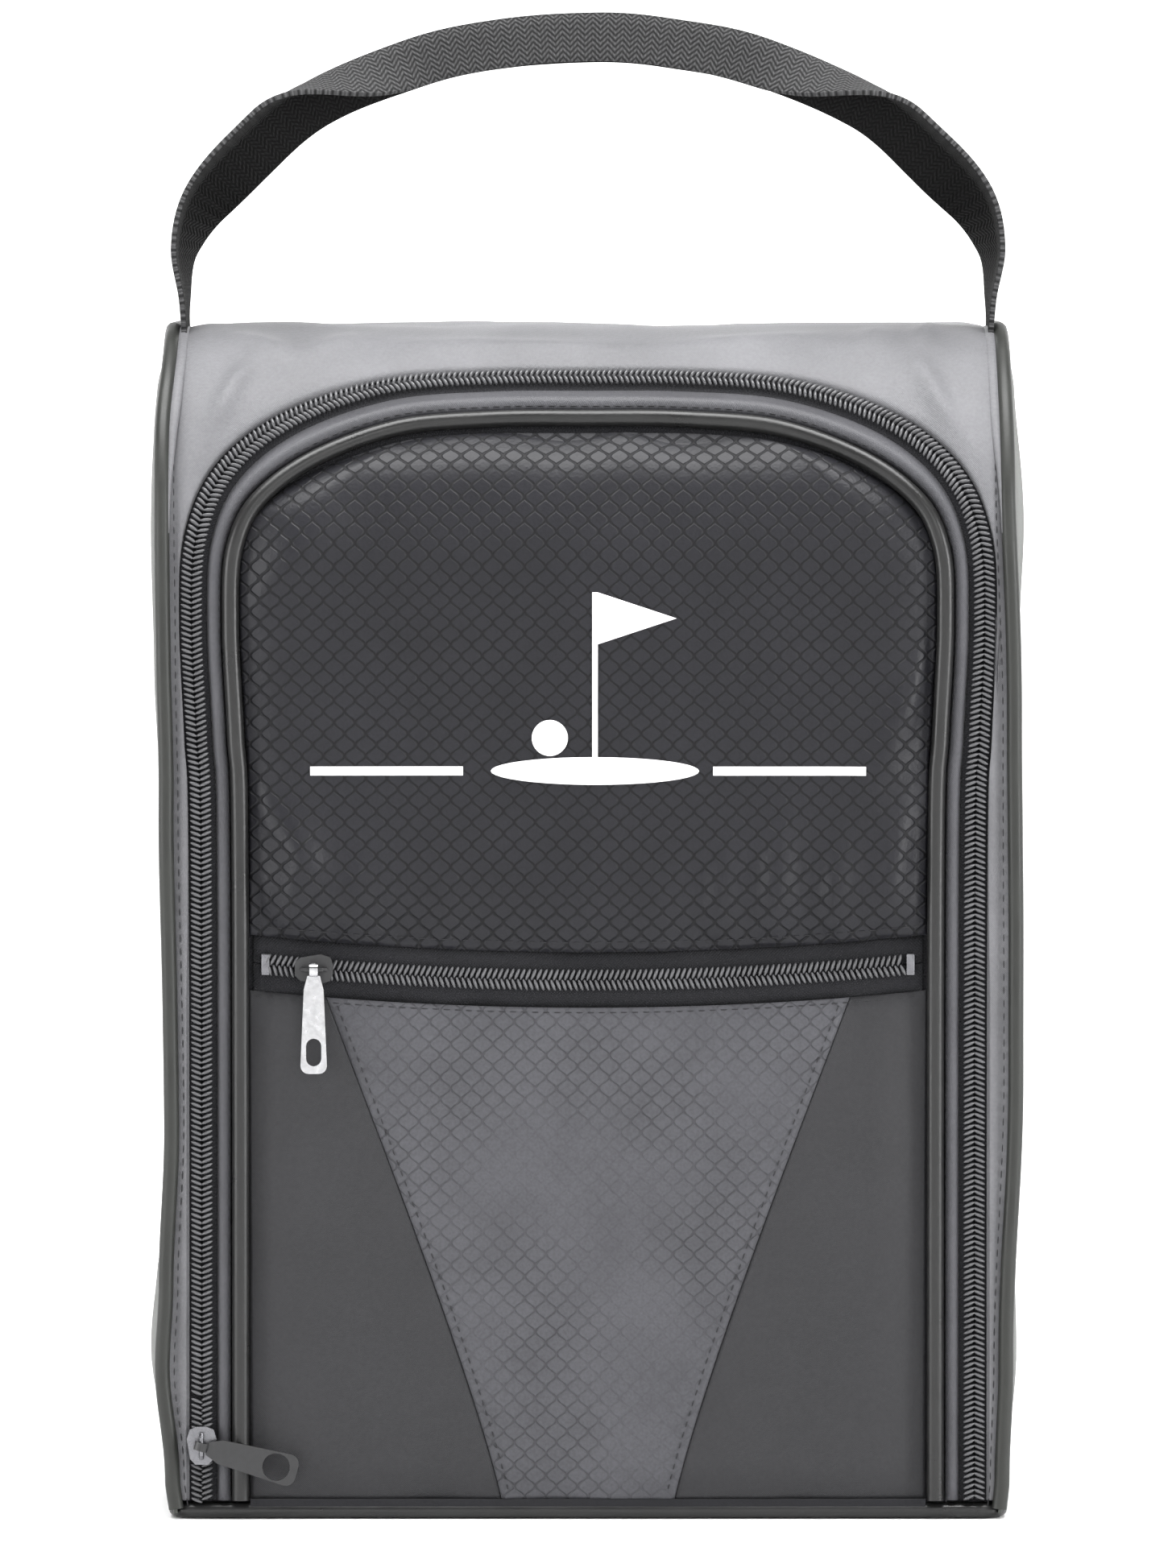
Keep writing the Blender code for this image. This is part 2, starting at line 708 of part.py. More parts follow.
def make_pull(name, length, width, hole, look):
    """A pull lying against the zip: its plate is set back level with the rear of its eye."""
    mesh = pull_mesh(name, length, width, hole, PULL_THICKNESS)
    node = add_object(name, mesh, look)
    join_solid(node, eye_mesh(name + "_eye"), name + "_eye")
    return node


def make_main_slider():
    middle, axis = make_slider("main_slider", GUNMETAL, 0)
    x = -ZIP_LEG_X
    place_nodes(("main_slider_body", "main_slider_bridge"), (x, -HALF_DEPTH - middle, MAIN_SLIDER_Z))
    hole = (0.008, 0.008, -MAIN_PULL_LENGTH + 0.0062)
    pull = make_pull("main_pull_tab", MAIN_PULL_LENGTH, MAIN_PULL_WIDTH, hole, BLACK_METAL)
    pull.rotation_euler = (math.pi / 2, -math.pi / 2 + MAIN_PULL_DROOP, 0)
    pull.location = (x, -HALF_DEPTH - axis, MAIN_SLIDER_Z)


def make_pocket_slider():
    middle, axis = make_slider("pocket_slider", BLACK_METAL, math.pi / 2)
    z = pocket_arc_z(POCKET_SLIDER_X, 0)
    place_nodes(("pocket_slider_body", "pocket_slider_bridge"), (POCKET_SLIDER_X, -HALF_DEPTH - middle, z))
    hole = (0.0044, 0.0080, -POCKET_PULL_LENGTH + 0.0062)
    pull = make_pull("pocket_pull_tab", POCKET_PULL_LENGTH, POCKET_PULL_WIDTH, hole, NICKEL)
    pull.rotation_euler = (math.pi / 2, 0, 0)
    pull.location = (POCKET_SLIDER_X, -HALF_DEPTH - axis, z)


def make_handle():
    """The webbing: flat and narrow at its sewn roots, folded over in the middle of the grip."""
    route = smooth_route(mirrored_route(HANDLE_HALF_ROUTE), HANDLE_STATIONS)

    def place(u, v, w):
        index = round(u * HANDLE_STATIONS)
        point = route[index]
        along = route[min(index + 1, HANDLE_STATIONS)] - route[max(index - 1, 0)]
        outward = Vector((-along.y, along.x)).normalized()
        rise = point.y - HANDLE_AXIS_Z
        spread = min(1, max(0, (rise - 0.036) / 0.048))
        fold = math.radians(between(88, 9, spread * spread * (3 - 2 * spread)))
        half = min(WEBBING_HALF, HANDLE_ROOT_HALF + max(0, rise - 0.005) * 0.52)
        reach = half * abs(2 * v - 1)
        side = -1 if v < 0.5 else 1
        thickness = WEBBING_THICKNESS * (w - 1)
        if reach == 0:
            drop = thickness / max(math.sin(fold), 0.35)
            return Vector((point.x + outward.x * drop, HANDLE_Y, point.y + outward.y * drop))
        radial = -reach * math.cos(fold) + thickness * math.sin(fold)
        across = reach * math.sin(fold) + thickness * math.cos(fold)
        return Vector((point.x + outward.x * radial, HANDLE_Y + side * across, point.y + outward.y * radial))

    mapped_slab("handle_strap", HANDLE_STATIONS, 2, place, WEBBING)
    for name, side in (("left", -1), ("right", 1)):
        inner = side * 0.1165
        outer = side * 0.1181
        low = (min(inner, outer), HANDLE_Y - WEBBING_HALF, HEIGHT - 0.028)
        high = (max(inner, outer), HANDLE_Y + WEBBING_HALF, HEIGHT - 0.0050)
        board("handle_tail_" + name, low, high, WEBBING)


clear_scene()
PARTS = make_collection(COLLECTION_NAME)
GUIDES = make_collection("guides")
ZIP_LINE = zip_route()
make_base()
make_back()
make_side_gusset("side_gusset_left", -1)
make_side_gusset("side_gusset_right", 1)
make_side_piping("side_piping_left", -1)
make_side_piping("side_piping_right", 1)
make_front_surround()
make_top_panel()
make_main_zip()
make_door_trim()
make_door_panels()
make_pocket_front()
make_pocket_lining()
make_pocket_zip()
make_hinge_tape()
make_main_slider()
make_pocket_slider()
make_handle()
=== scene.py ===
"""Looks of the golf shoe bag: fabrics, zips, piping, sliders and webbing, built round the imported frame.

Front layers are placed as in the frame: x across, s along the side profile and d above the outer fabric.
"""

import math

import bmesh
import bpy
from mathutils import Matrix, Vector, noise
from mathutils.bvhtree import BVHTree


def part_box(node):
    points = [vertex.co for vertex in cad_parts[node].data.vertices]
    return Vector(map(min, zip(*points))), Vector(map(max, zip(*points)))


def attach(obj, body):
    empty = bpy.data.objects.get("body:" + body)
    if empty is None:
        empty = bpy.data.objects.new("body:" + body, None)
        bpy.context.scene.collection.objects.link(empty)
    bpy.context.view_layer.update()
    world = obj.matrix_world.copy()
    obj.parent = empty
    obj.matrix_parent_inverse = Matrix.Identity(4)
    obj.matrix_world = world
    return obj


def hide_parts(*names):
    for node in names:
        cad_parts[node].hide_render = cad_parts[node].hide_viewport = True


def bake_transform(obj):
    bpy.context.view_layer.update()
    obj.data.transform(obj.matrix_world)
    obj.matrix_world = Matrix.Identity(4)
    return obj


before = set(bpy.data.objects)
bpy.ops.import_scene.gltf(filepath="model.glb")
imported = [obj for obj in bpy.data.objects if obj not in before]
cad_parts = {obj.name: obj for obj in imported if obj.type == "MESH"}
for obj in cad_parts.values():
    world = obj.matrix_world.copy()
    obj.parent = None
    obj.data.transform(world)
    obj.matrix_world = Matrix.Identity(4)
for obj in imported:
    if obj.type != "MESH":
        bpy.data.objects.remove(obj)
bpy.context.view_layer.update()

# Sizes of the frame
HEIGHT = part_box("side_gusset_left")[1][2]
HALF_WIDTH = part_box("side_gusset_right")[1][0]
HALF_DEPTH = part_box("side_gusset_left")[1][1]
SHOULDER_RADIUS = 0.070
BACK_RADIUS = 0.020
SHOULDER_Z = HEIGHT - SHOULDER_RADIUS
SHOULDER_Y = -HALF_DEPTH + SHOULDER_RADIUS
BACK_CORNER_Y = HALF_DEPTH - BACK_RADIUS
SHOULDER_END = SHOULDER_Z + SHOULDER_RADIUS * math.pi / 2
TOP_END = SHOULDER_END + BACK_CORNER_Y - SHOULDER_Y
PROFILE_END = TOP_END + BACK_RADIUS * math.pi / 2
BACK_FOOT = PROFILE_END + HEIGHT - BACK_RADIUS
EDGE_X = 0.1200
DOOR_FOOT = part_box("pocket_panel_center")[0][2]
HANDLE_Y = 0.005

# Main zip: half of its centre line as (x, z)
ZIP_LEG_X = 0.1115
ZIP_HALF_ROUTE = (
    (ZIP_LEG_X, 0.0055),
    (ZIP_LEG_X, 0.190),
    (0.1127, 0.225),
    (0.1142, 0.258),
    (0.1128, 0.284),
    (0.1040, 0.3035),
    (0.0850, 0.3180),
    (0.0570, 0.3270),
    (0.0280, 0.3292),
    (0.0, 0.3294),
)
ZIP_STATIONS = 240
TOP_SPREAD = 0.55
TOOTH_PITCH = 0.0016
PANEL_OFFSET = 0.0138

# Pocket zip: a shallow arc
POCKET_ARC_RADIUS = 0.95
POCKET_ZIP_Z = 0.1560
POCKET_ZIP_HALF = 0.0965
POCKET_BAND = 0.0080
CENTER_TOP_HALF = 0.0755
CENTER_BOTTOM_HALF = 0.0250

# Handle: half of the crest line of the folded webbing as (x, z)
HANDLE_HALF_ROUTE = (
    (0.1184, 0.3400),
    (0.1192, 0.3520),
    (0.1215, 0.3670),
    (0.1170, 0.3830),
    (0.1037, 0.3985),
    (0.0840, 0.4150),
    (0.0520, 0.4290),
    (0.0230, 0.4350),
    (0.0, 0.4365),
)
WEBBING_HALF = 0.0155
WEBBING_THICKNESS = 0.0016
HANDLE_STATIONS = 160


# --- Curves and surfaces ---------------------------------------------------------------------------


def front_point(x, s, d=0.0):
    """The point at x across, s along the side profile and d above the outer fabric."""
    if s <= SHOULDER_Z:
        return Vector((x, -HALF_DEPTH - d, s))
    if s <= SHOULDER_END:
        turn = (s - SHOULDER_Z) / SHOULDER_RADIUS
        radius = SHOULDER_RADIUS + d
        return Vector((x, SHOULDER_Y - radius * math.cos(turn), SHOULDER_Z + radius * math.sin(turn)))
    if s <= TOP_END:
        return Vector((x, SHOULDER_Y + s - SHOULDER_END, HEIGHT + d))
    if s <= PROFILE_END:
        turn = (s - TOP_END) / BACK_RADIUS
        radius = BACK_RADIUS + d
        corner_z = HEIGHT - BACK_RADIUS
        return Vector((x, BACK_CORNER_Y + radius * math.sin(turn), corner_z + radius * math.cos(turn)))
    return Vector((x, HALF_DEPTH + d, HEIGHT - BACK_RADIUS - (s - PROFILE_END)))


def profile_length(z):
    if z <= SHOULDER_Z:
        return z
    return SHOULDER_Z + SHOULDER_RADIUS * math.asin((z - SHOULDER_Z) / SHOULDER_RADIUS)


def between(low, high, share):
    return low + (high - low) * share


def smooth_step(low, high, value):
    share = min(1.0, max(0.0, (value - low) / (high - low)))
    return share * share * (3 - 2 * share)


def catmull(before, start, end, after, t):
    leaving = (end - before) * 0.5
    arriving = (after - start) * 0.5
    square = t * t
    cube = square * t
    return (
        start * (2 * cube - 3 * square + 1)
        + leaving * (cube - 2 * square + t)
        + end * (3 * square - 2 * cube)
        + arriving * (cube - square)
    )


def smooth_route(points, steps):
    """Evenly spaced points on a smooth curve through the given ones."""
    pieces = 24
    last = len(points) - 1
    dense = []
    for index in range(last):
        before = points[max(index - 1, 0)]
        after = points[min(index + 2, last)]
        for piece in range(pieces):
            dense.append(catmull(before, points[index], points[index + 1], after, piece / pieces))
    dense.append(points[-1].copy())
    lengths = [0.0]
    for first, second in zip(dense, dense[1:]):
        lengths.append(lengths[-1] + (second - first).length)
    result = []
    position = 0
    for step in range(steps + 1):
        target = lengths[-1] * step / steps
        while position < len(dense) - 2 and lengths[position + 1] < target:
            position += 1
        span = lengths[position + 1] - lengths[position]
        result.append(dense[position].lerp(dense[position + 1], (target - lengths[position]) / span))
    return result


def mirrored_route(half_route):
    left = [Vector((-x, z)) for x, z in half_route]
    right = [Vector((x, z)) for x, z in reversed(half_route[:-1])]
    return left + right


def zip_route(steps):
    """Points of the main zip's centre line in (x, s), with the direction away from the door."""
    route = [Vector((point.x, profile_length(point.y))) for point in mirrored_route(ZIP_HALF_ROUTE)]
    points = smooth_route(route, steps)
    stations = []
    for index, point in enumerate(points):
        along = (points[min(index + 1, steps)] - points[max(index - 1, 0)]).normalized()
        stations.append((point, Vector((-along.y, along.x))))
    return stations


ZIP_LINE = zip_route(ZIP_STATIONS)


def beside_zip(station, offset):
    """The (x, s) point at an offset from the zip, positive away from the door; layers spread at the top."""
    point, outward = station
    spread = 1 + TOP_SPREAD * outward.y**2 if offset < -0.0045 else 1
    return point + outward * offset * spread


def pocket_arc_z(x, offset):
    radius = POCKET_ARC_RADIUS - offset
    return POCKET_ZIP_Z + POCKET_ARC_RADIUS - math.sqrt(radius**2 - x**2)


PANEL_EDGE = [beside_zip(station, -PANEL_OFFSET) for station in ZIP_LINE[ZIP_STATIONS // 2:]]
PANEL_TOP = PANEL_EDGE[0].y


def panel_half_width(s):
    for upper, lower in zip(PANEL_EDGE, PANEL_EDGE[1:]):
        if lower.y <= s <= upper.y:
            return between(upper.x, lower.x, (upper.y - s) / max(upper.y - lower.y, 1e-9))
    return PANEL_EDGE[-1].x


def ripple(x, y, size, seed=0.0):
    """Smooth noise between about -1 and 1 with features of that size in metres."""
    return noise.noise(Vector((x / size, y / size, seed)))


# --- Pieces ----------------------------------------------------------------------------------------


def finish_piece(piece, body, replaced=()):
    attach(piece, body)
    if replaced:
        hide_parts(*replaced)
    return piece


def new_piece(name, mesh, material, smooth=True):
    piece = bpy.data.objects.new(name, mesh)
    bpy.context.scene.collection.objects.link(piece)
    mesh.materials.append(material)
    if smooth:
        mesh.shade_smooth()
    return piece


def face_outward(mesh):
    """Turn an open sheet so that its faces point away from the middle of the bag."""
    middle = Vector((0, 0, HEIGHT / 2))
    facing = sum(face.area * face.normal.dot(face.center - middle) for face in mesh.polygons)
    if facing < 0:
        mesh.flip_normals()


def sheet_piece(name, columns, rows, place, material, thickness=0.0010):
    """A fabric sheet on a grid: place(u, v) gives each point and its position on the flat cloth."""
    vertices = []
    flat = []
    for row in range(rows + 1):
        for column in range(columns + 1):
            point, cloth = place(column / columns, row / rows)
            vertices.append(point)
            flat.append(cloth)
    width = columns + 1
    faces = []
    for row in range(rows):
        for column in range(columns):
            corner = row * width + column
            faces.append((corner, corner + 1, corner + width + 1, corner + width))
    mesh = bpy.data.meshes.new(name)
    mesh.from_pydata(vertices, [], faces)
    layer = mesh.uv_layers.new(name="cloth")
    for loop in mesh.loops:
        layer.data[loop.index].uv = flat[loop.vertex_index]
    face_outward(mesh)
    piece = new_piece(name, mesh, material)
    if thickness:
        thicken = piece.modifiers.new("thickness", "SOLIDIFY")
        thicken.thickness = thickness
        thicken.offset = -1
    return piece


def rod_piece(name, points, radius, material, resolution=4):
    curve = bpy.data.curves.new(name, "CURVE")
    curve.dimensions = "3D"
    curve.bevel_depth = radius
    curve.bevel_resolution = resolution
    curve.use_fill_caps = True
    spline = curve.splines.new("POLY")
    spline.points.add(len(points) - 1)
    for target, point in zip(spline.points, points):
        target.co = (*point, 1.0)
    spline.use_smooth = True
    curve.materials.append(material)
    piece = bpy.data.objects.new(name, curve)
    bpy.context.scene.collection.objects.link(piece)
    return piece


def bead_mesh(name, beads, segments=8, rings=5):
    """Many rounded beads in one mesh; each is a centre and its three half axes."""
    template = bmesh.new()
    bmesh.ops.create_uvsphere(template, u_segments=segments, v_segments=rings, radius=1)
    corners = [vertex.co.copy() for vertex in template.verts]
    sides = [tuple(vertex.index for vertex in face.verts) for face in template.faces]
    template.free()
    vertices = []
    faces = []
    for center, long_axis, wide_axis, high_axis in beads:
        start = len(vertices)
        for corner in corners:
            vertices.append(center + wide_axis * corner.x + high_axis * corner.y + long_axis * corner.z)
        faces.extend(tuple(start + index for index in side) for side in sides)
    mesh = bpy.data.meshes.new(name)
    mesh.from_pydata(vertices, [], faces)
    return mesh


def stitch_beads(points, outward, length=0.0021, gap=0.0011, radius=0.00022):
    """Thread stitches along a line of close points, each lying on the cloth."""
    beads = []
    travelled = 0.0
    step = length + gap
    target = step / 2
    for index in range(len(points) - 1):
        span = points[index + 1] - points[index]
        reach = span.length
        while reach > 0 and travelled + reach >= target:
            center = points[index] + span * ((target - travelled) / reach)
            along = span / reach
            up = outward[index]
            across = up.cross(along)
            beads.append((center + up * radius * 0.5, along * length / 2, across * radius, up * radius))
            target += step
        travelled += reach
    return beads


# --- Materials -------------------------------------------------------------------------------------


class Graph:
    """A short way to write a material's nodes."""

    def __init__(self, name, color, roughness, metallic=0.0, sheen=0.0, coat=0.0, specular=0.5):
        self.material = bpy.data.materials.new(name)
        self.material.use_nodes = True
        self.nodes = self.material.node_tree.nodes
        self.links = self.material.node_tree.links
        self.shader = self.nodes["Principled BSDF"]
        self.color = color
        self.roughness = roughness
        self.shader.inputs["Base Color"].default_value = (*color, 1)
        self.shader.inputs["Roughness"].default_value = roughness
        self.shader.inputs["Metallic"].default_value = metallic
        self.shader.inputs["Specular IOR Level"].default_value = specular
        self.shader.inputs["Sheen Weight"].default_value = sheen
        self.shader.inputs["Sheen Roughness"].default_value = 0.4
        self.shader.inputs["Coat Weight"].default_value = coat
        self.shader.inputs["Coat Roughness"].default_value = 0.25

    def add(self, kind, **values):
        node = self.nodes.new(kind)
        for key, value in values.items():
            setattr(node, key, value)
        return node

    def put(self, socket, value):
        if isinstance(value, (int, float)):
            socket.default_value = value
        else:
            self.links.new(value, socket)

    def math(self, operation, first, second=0.0, third=0.0):
        node = self.add("ShaderNodeMath", operation=operation)
        for socket, value in zip(node.inputs, (first, second, third)):
            self.put(socket, value)
        return node.outputs[0]

    def cloth(self):
        """The position on the flat cloth in metres, as two sockets."""
        source = self.add("ShaderNodeUVMap", uv_map="cloth")
        split = self.add("ShaderNodeSeparateXYZ")
        self.links.new(source.outputs[0], split.inputs[0])
        return split.outputs[0], split.outputs[1]

    def noise(self, size, detail=3.0):
        """Noise with features of that size in metres, from the object's own coordinates."""
        source = self.add("ShaderNodeTexCoord")
        field = self.add("ShaderNodeTexNoise")
        field.inputs["Scale"].default_value = 1 / size
        field.inputs["Detail"].default_value = detail
        self.links.new(source.outputs["Object"], field.inputs["Vector"])
        return field.outputs[0]

    def range(self, value, low, high, to_low, to_high):
        node = self.add("ShaderNodeMapRange")
        self.put(node.inputs[0], value)
        for socket, number in zip(node.inputs[1:5], (low, high, to_low, to_high)):
            socket.default_value = number
        return node.outputs[0]

    def tint(self, amount):
        """Multiply the base colour by a socket."""
        mix = self.add("ShaderNodeVectorMath", operation="SCALE")
        mix.inputs[0].default_value = self.color
        self.put(mix.inputs["Scale"], amount)
        self.links.new(mix.outputs[0], self.shader.inputs["Base Color"])

    def gloss(self, amount):
        self.put(self.shader.inputs["Roughness"], amount)

    def bump(self, height, depth):
        node = self.add("ShaderNodeBump")
        node.inputs["Strength"].default_value = 1.0
        node.inputs["Distance"].default_value = depth
        self.put(node.inputs["Height"], height)
        previous = self.shader.inputs["Normal"]
        if previous.is_linked:
            self.links.new(previous.links[0].from_socket, node.inputs["Normal"])
        self.links.new(node.outputs[0], previous)


def wave(graph, value, pitch):
    return graph.math("SINE", graph.math("MULTIPLY", value, 2 * math.pi / pitch))


def woven_material(name, color, roughness, sheen=0.04, pitch=0.0006, depth=0.00003, mottle=0.12):
    """Plain woven polyester: a fine weave, a slow change of tone and slightly uneven gloss."""
    graph = Graph(name, color, roughness, sheen=sheen, specular=0.22)
    across, along = graph.cloth()
    weave = graph.math("MULTIPLY", wave(graph, across, pitch), wave(graph, along, pitch))
    graph.bump(weave, depth)
    cloud = graph.noise(0.030)
    grain = graph.noise(0.0011, 2.0)
    graph.bump(grain, 0.00012)
    tone = graph.range(cloud, 0.3, 0.7, 1 - mottle, 1 + mottle)
    speck = graph.range(grain, 0.3, 0.7, 0.93, 1.07)
    graph.tint(graph.math("MULTIPLY", tone, speck))
    graph.gloss(graph.range(cloud, 0.3, 0.7, roughness - 0.06, roughness + 0.06))
    return graph.material


def ripstop_material(name, color, roughness, line_tone, line=0.075, sheen=0.03, fade=None):
    """Ripstop with an embossed net of wavy lines that meet in rounded diamonds."""
    cell = (0.0061, 0.0064)
    graph = Graph(name, color, roughness, sheen=sheen, specular=0.20)
    across, along = graph.cloth()
    turn = graph.math("MULTIPLY", along, 2 * math.pi / cell[1])
    sway = graph.math("MULTIPLY", graph.math("COSINE", turn), 0.235)
    column = graph.math("DIVIDE", across, cell[0])
    nearest = None
    for side in (1, -1):
        shifted = graph.math("MULTIPLY_ADD", sway, side, column)
        shifted = graph.math("ADD", shifted, 0.25 * side)
        ramp = graph.math("SUBTRACT", graph.math("FRACT", graph.math("ADD", shifted, 100.0)), 0.5)
        distance = graph.math("ABSOLUTE", ramp)
        nearest = distance if nearest is None else graph.math("MINIMUM", nearest, distance)
    groove = graph.range(nearest, line * 0.5, line * 1.6, 0.0, 1.0)
    if fade:
        cloud = graph.range(graph.noise(0.05), 0.42, 0.60, 0.0, 1.0)
        groove = graph.math("MAXIMUM", groove, graph.math("MULTIPLY", cloud, fade))
    graph.bump(groove, 0.00022)
    grain = graph.noise(0.0009, 2.0)
    graph.bump(grain, 0.0001)
    mottle = graph.range(graph.noise(0.02), 0.3, 0.7, 0.90, 1.12)
    # The pressed lines of the net are tinted darker than the cloth: painted shade in these grooves.
    tone = graph.math("MULTIPLY", graph.range(groove, 0.0, 1.0, line_tone, 1.0), mottle)
    graph.tint(graph.math("MULTIPLY", tone, graph.range(grain, 0.3, 0.7, 0.90, 1.10)))
    graph.gloss(graph.range(groove, 0.0, 1.0, roughness + 0.2, roughness))
    return graph.material


def webbing_material(name, color, ribs=0.0017, column=0.0046):
    """Herringbone webbing: diagonal ribs that turn back in columns across the strap."""
    graph = Graph(name, color, 0.8, sheen=0.03, specular=0.15)
    along, across = graph.cloth()
    fold = graph.math("PINGPONG", along, column / 2)
    phase = graph.math("ADD", across, fold)
    rib = graph.math("MULTIPLY_ADD", wave(graph, phase, ribs), 0.5, 0.5)
    yarn = graph.math("MULTIPLY_ADD", wave(graph, along, 0.0011), 0.25, 0.75)
    height = graph.math("MULTIPLY", rib, yarn)
    graph.bump(height, 0.00040)
    grain = graph.noise(0.0008, 2.0)
    graph.bump(grain, 0.00015)
    # The tint follows the rib height: painted shade in the grooves and painted highlight on the crests.
    tone = graph.range(height, 0.0, 1.0, 0.25, 1.70)
    graph.tint(graph.math("MULTIPLY", tone, graph.range(grain, 0.3, 0.7, 0.85, 1.15)))
    return graph.material


def rubber_material(name, color, roughness, coat=0.15):
    """Smooth coated cord: a slight grain and worn gloss."""
    graph = Graph(name, color, roughness, coat=coat, specular=0.3)
    grain = graph.noise(0.0007, 2.0)
    graph.bump(grain, 0.00006)
    cloud = graph.noise(0.012)
    graph.tint(graph.range(cloud, 0.3, 0.7, 0.85, 1.15))
    graph.gloss(graph.range(cloud, 0.3, 0.7, roughness - 0.07, roughness + 0.08))
    return graph.material


def metal_material(name, color, roughness, metallic=1.0, wear=0.10):
    """Plated or painted metal with faint scuffs."""
    graph = Graph(name, color, roughness, metallic=metallic)
    scuff = graph.noise(0.0016, 5.0)
    graph.bump(scuff, 0.00003)
    graph.tint(graph.range(scuff, 0.35, 0.65, 1 - wear, 1 + wear))
    graph.gloss(graph.range(scuff, 0.35, 0.65, roughness - 0.05, roughness + 0.10))
    return graph.material


TOP_CLOTH = woven_material("top_cloth", (0.120, 0.120, 0.127), 0.45, sheen=0.10)
SIDE_CLOTH = woven_material("side_cloth", (0.075, 0.079, 0.073), 0.50)
DARK_CLOTH = woven_material("dark_cloth", (0.024, 0.024, 0.026), 0.55, mottle=0.08)
TRIM_CLOTH = woven_material("trim_cloth", (0.060, 0.060, 0.066), 0.45)
LINING_CLOTH = woven_material("lining_cloth", (0.05, 0.05, 0.055), 0.8)
RIPSTOP = ripstop_material("diamond_ripstop", (0.0105, 0.0105, 0.0130), 0.40, 0.35)
CENTER_RIPSTOP = ripstop_material("center_ripstop", (0.056, 0.056, 0.062), 0.50, 0.74, line=0.05, fade=0.8)
TAPE = woven_material("zip_tape", (0.012, 0.012, 0.014), 0.8, pitch=0.0009, depth=0.0001)
PIPING = rubber_material("piping_vinyl", (0.010, 0.010, 0.010), 0.33)
SIDE_ROLL = rubber_material("side_roll", (0.018, 0.019, 0.017), 0.45, coat=0.05)
COIL = rubber_material("coil_nylon", (0.070, 0.070, 0.074), 0.28, coat=0.4)
THREAD = woven_material("dark_thread", (0.020, 0.020, 0.022), 0.6)
STRAP = webbing_material("herringbone_webbing", (0.046, 0.046, 0.047))
# The same webbing made near black, as painted shade for its inner face and for the tails.
WEBBING_PAINTED_SHADE = webbing_material("webbing_painted_shade", (0.005, 0.005, 0.005))
GUNMETAL = metal_material("gunmetal", (0.16, 0.16, 0.17), 0.26)
BLACK_PAINT = metal_material("black_paint", (0.012, 0.012, 0.013), 0.38, metallic=0.0, wear=0.25)
NICKEL = metal_material("nickel", (0.42, 0.42, 0.43), 0.20)
BOARD = rubber_material("stiffener_board", (0.30, 0.30, 0.30), 0.6, coat=0.0)
FOAM = woven_material("sheet_foam", (0.55, 0.55, 0.53), 0.9, pitch=0.0015)
PRINT = rubber_material("white_print", (0.85, 0.85, 0.85), 0.5, coat=0.0)


# --- Shell -----------------------------------------------------------------------------------------

# How far the outer seams wander from their straight lines, as (height, lean)
LEFT_LEANS = ((0.0, -0.0030), (0.012, -0.0016), (0.044, 0.0013), (0.067, 0.0002), (0.114, -0.0016),
              (0.207, 0.0), (0.248, 0.0007), (0.313, 0.0013), (0.343, -0.0006))
RIGHT_LEANS = ((0.0, -0.0030), (0.012, -0.0020), (0.044, -0.0010), (0.128, 0.0018), (0.230, 0.0014),
               (0.300, -0.0006), (0.343, -0.0012))


def seam_lean(side, z):
    """How far the outer seam on one side leans outward at a height."""
    leans = LEFT_LEANS if side < 0 else RIGHT_LEANS
    for (low, first), (high, second) in zip(leans, leans[1:]):
        if z <= high:
            return between(first, second, smooth_step(low, high, z))
    return leans[-1][1]


def seam_height(s):
    """The height of the outer seam at a length along the side profile."""
    return front_point(0, s).z


SURROUND_LEG = 0.150
SURROUND_INNER = 0.0036
CREASES = (
    # start x, start s, end x, end s, half width, height
    (-0.105, 0.362, -0.084, 0.345, 0.0050, 0.0016),
    (-0.084, 0.345, -0.066, 0.362, 0.0045, 0.0012),
    (-0.108, 0.318, -0.098, 0.345, 0.0030, 0.0015),
    (-0.060, 0.356, 0.020, 0.352, 0.0050, 0.0008),
    (0.106, 0.312, 0.094, 0.350, 0.0032, 0.0016),
    (0.094, 0.350, 0.101, 0.378, 0.0040, 0.0012),
    (0.078, 0.345, 0.086, 0.372, 0.0045, 0.0011),
    (0.020, 0.352, 0.070, 0.362, 0.0050, 0.0009),
)


def crease_height(x, s, creases):
    """Soft ridges that the stretched cloth throws up."""
    height = 0.0
    for x0, s0, x1, s1, half_width, rise in creases:
        run = Vector((x1 - x0, s1 - s0))
        offset = Vector((x - x0, s - s0))
        share = min(1.0, max(0.0, offset.dot(run) / run.length_squared))
        distance = (offset - run * share).length
        fade = math.sin(math.pi * between(0.06, 0.94, share))
        height += 1.8 * rise * fade * math.exp(-(distance / half_width) ** 2)
    return height


def surround_outer_edge(index):
    half = ZIP_STATIONS // 2
    mirrored = min(index, ZIP_STATIONS - index)
    side = -1 if index <= half else 1
    route_length = PROFILE_END - SURROUND_LEG + EDGE_X
    low = next(number for number in range(half) if ZIP_LINE[number][0].y >= SURROUND_LEG)
    corner = low + round((half - low) * (PROFILE_END - SURROUND_LEG) / route_length)
    if mirrored <= low:
        return Vector((side * EDGE_X, ZIP_LINE[mirrored][0].y))
    if mirrored <= corner:
        climb = (mirrored - low) / (corner - low)
        return Vector((side * EDGE_X, between(ZIP_LINE[low][0].y, PROFILE_END, climb)))
    across = (half - mirrored) / (half - corner)
    return Vector((side * EDGE_X * across, PROFILE_END))


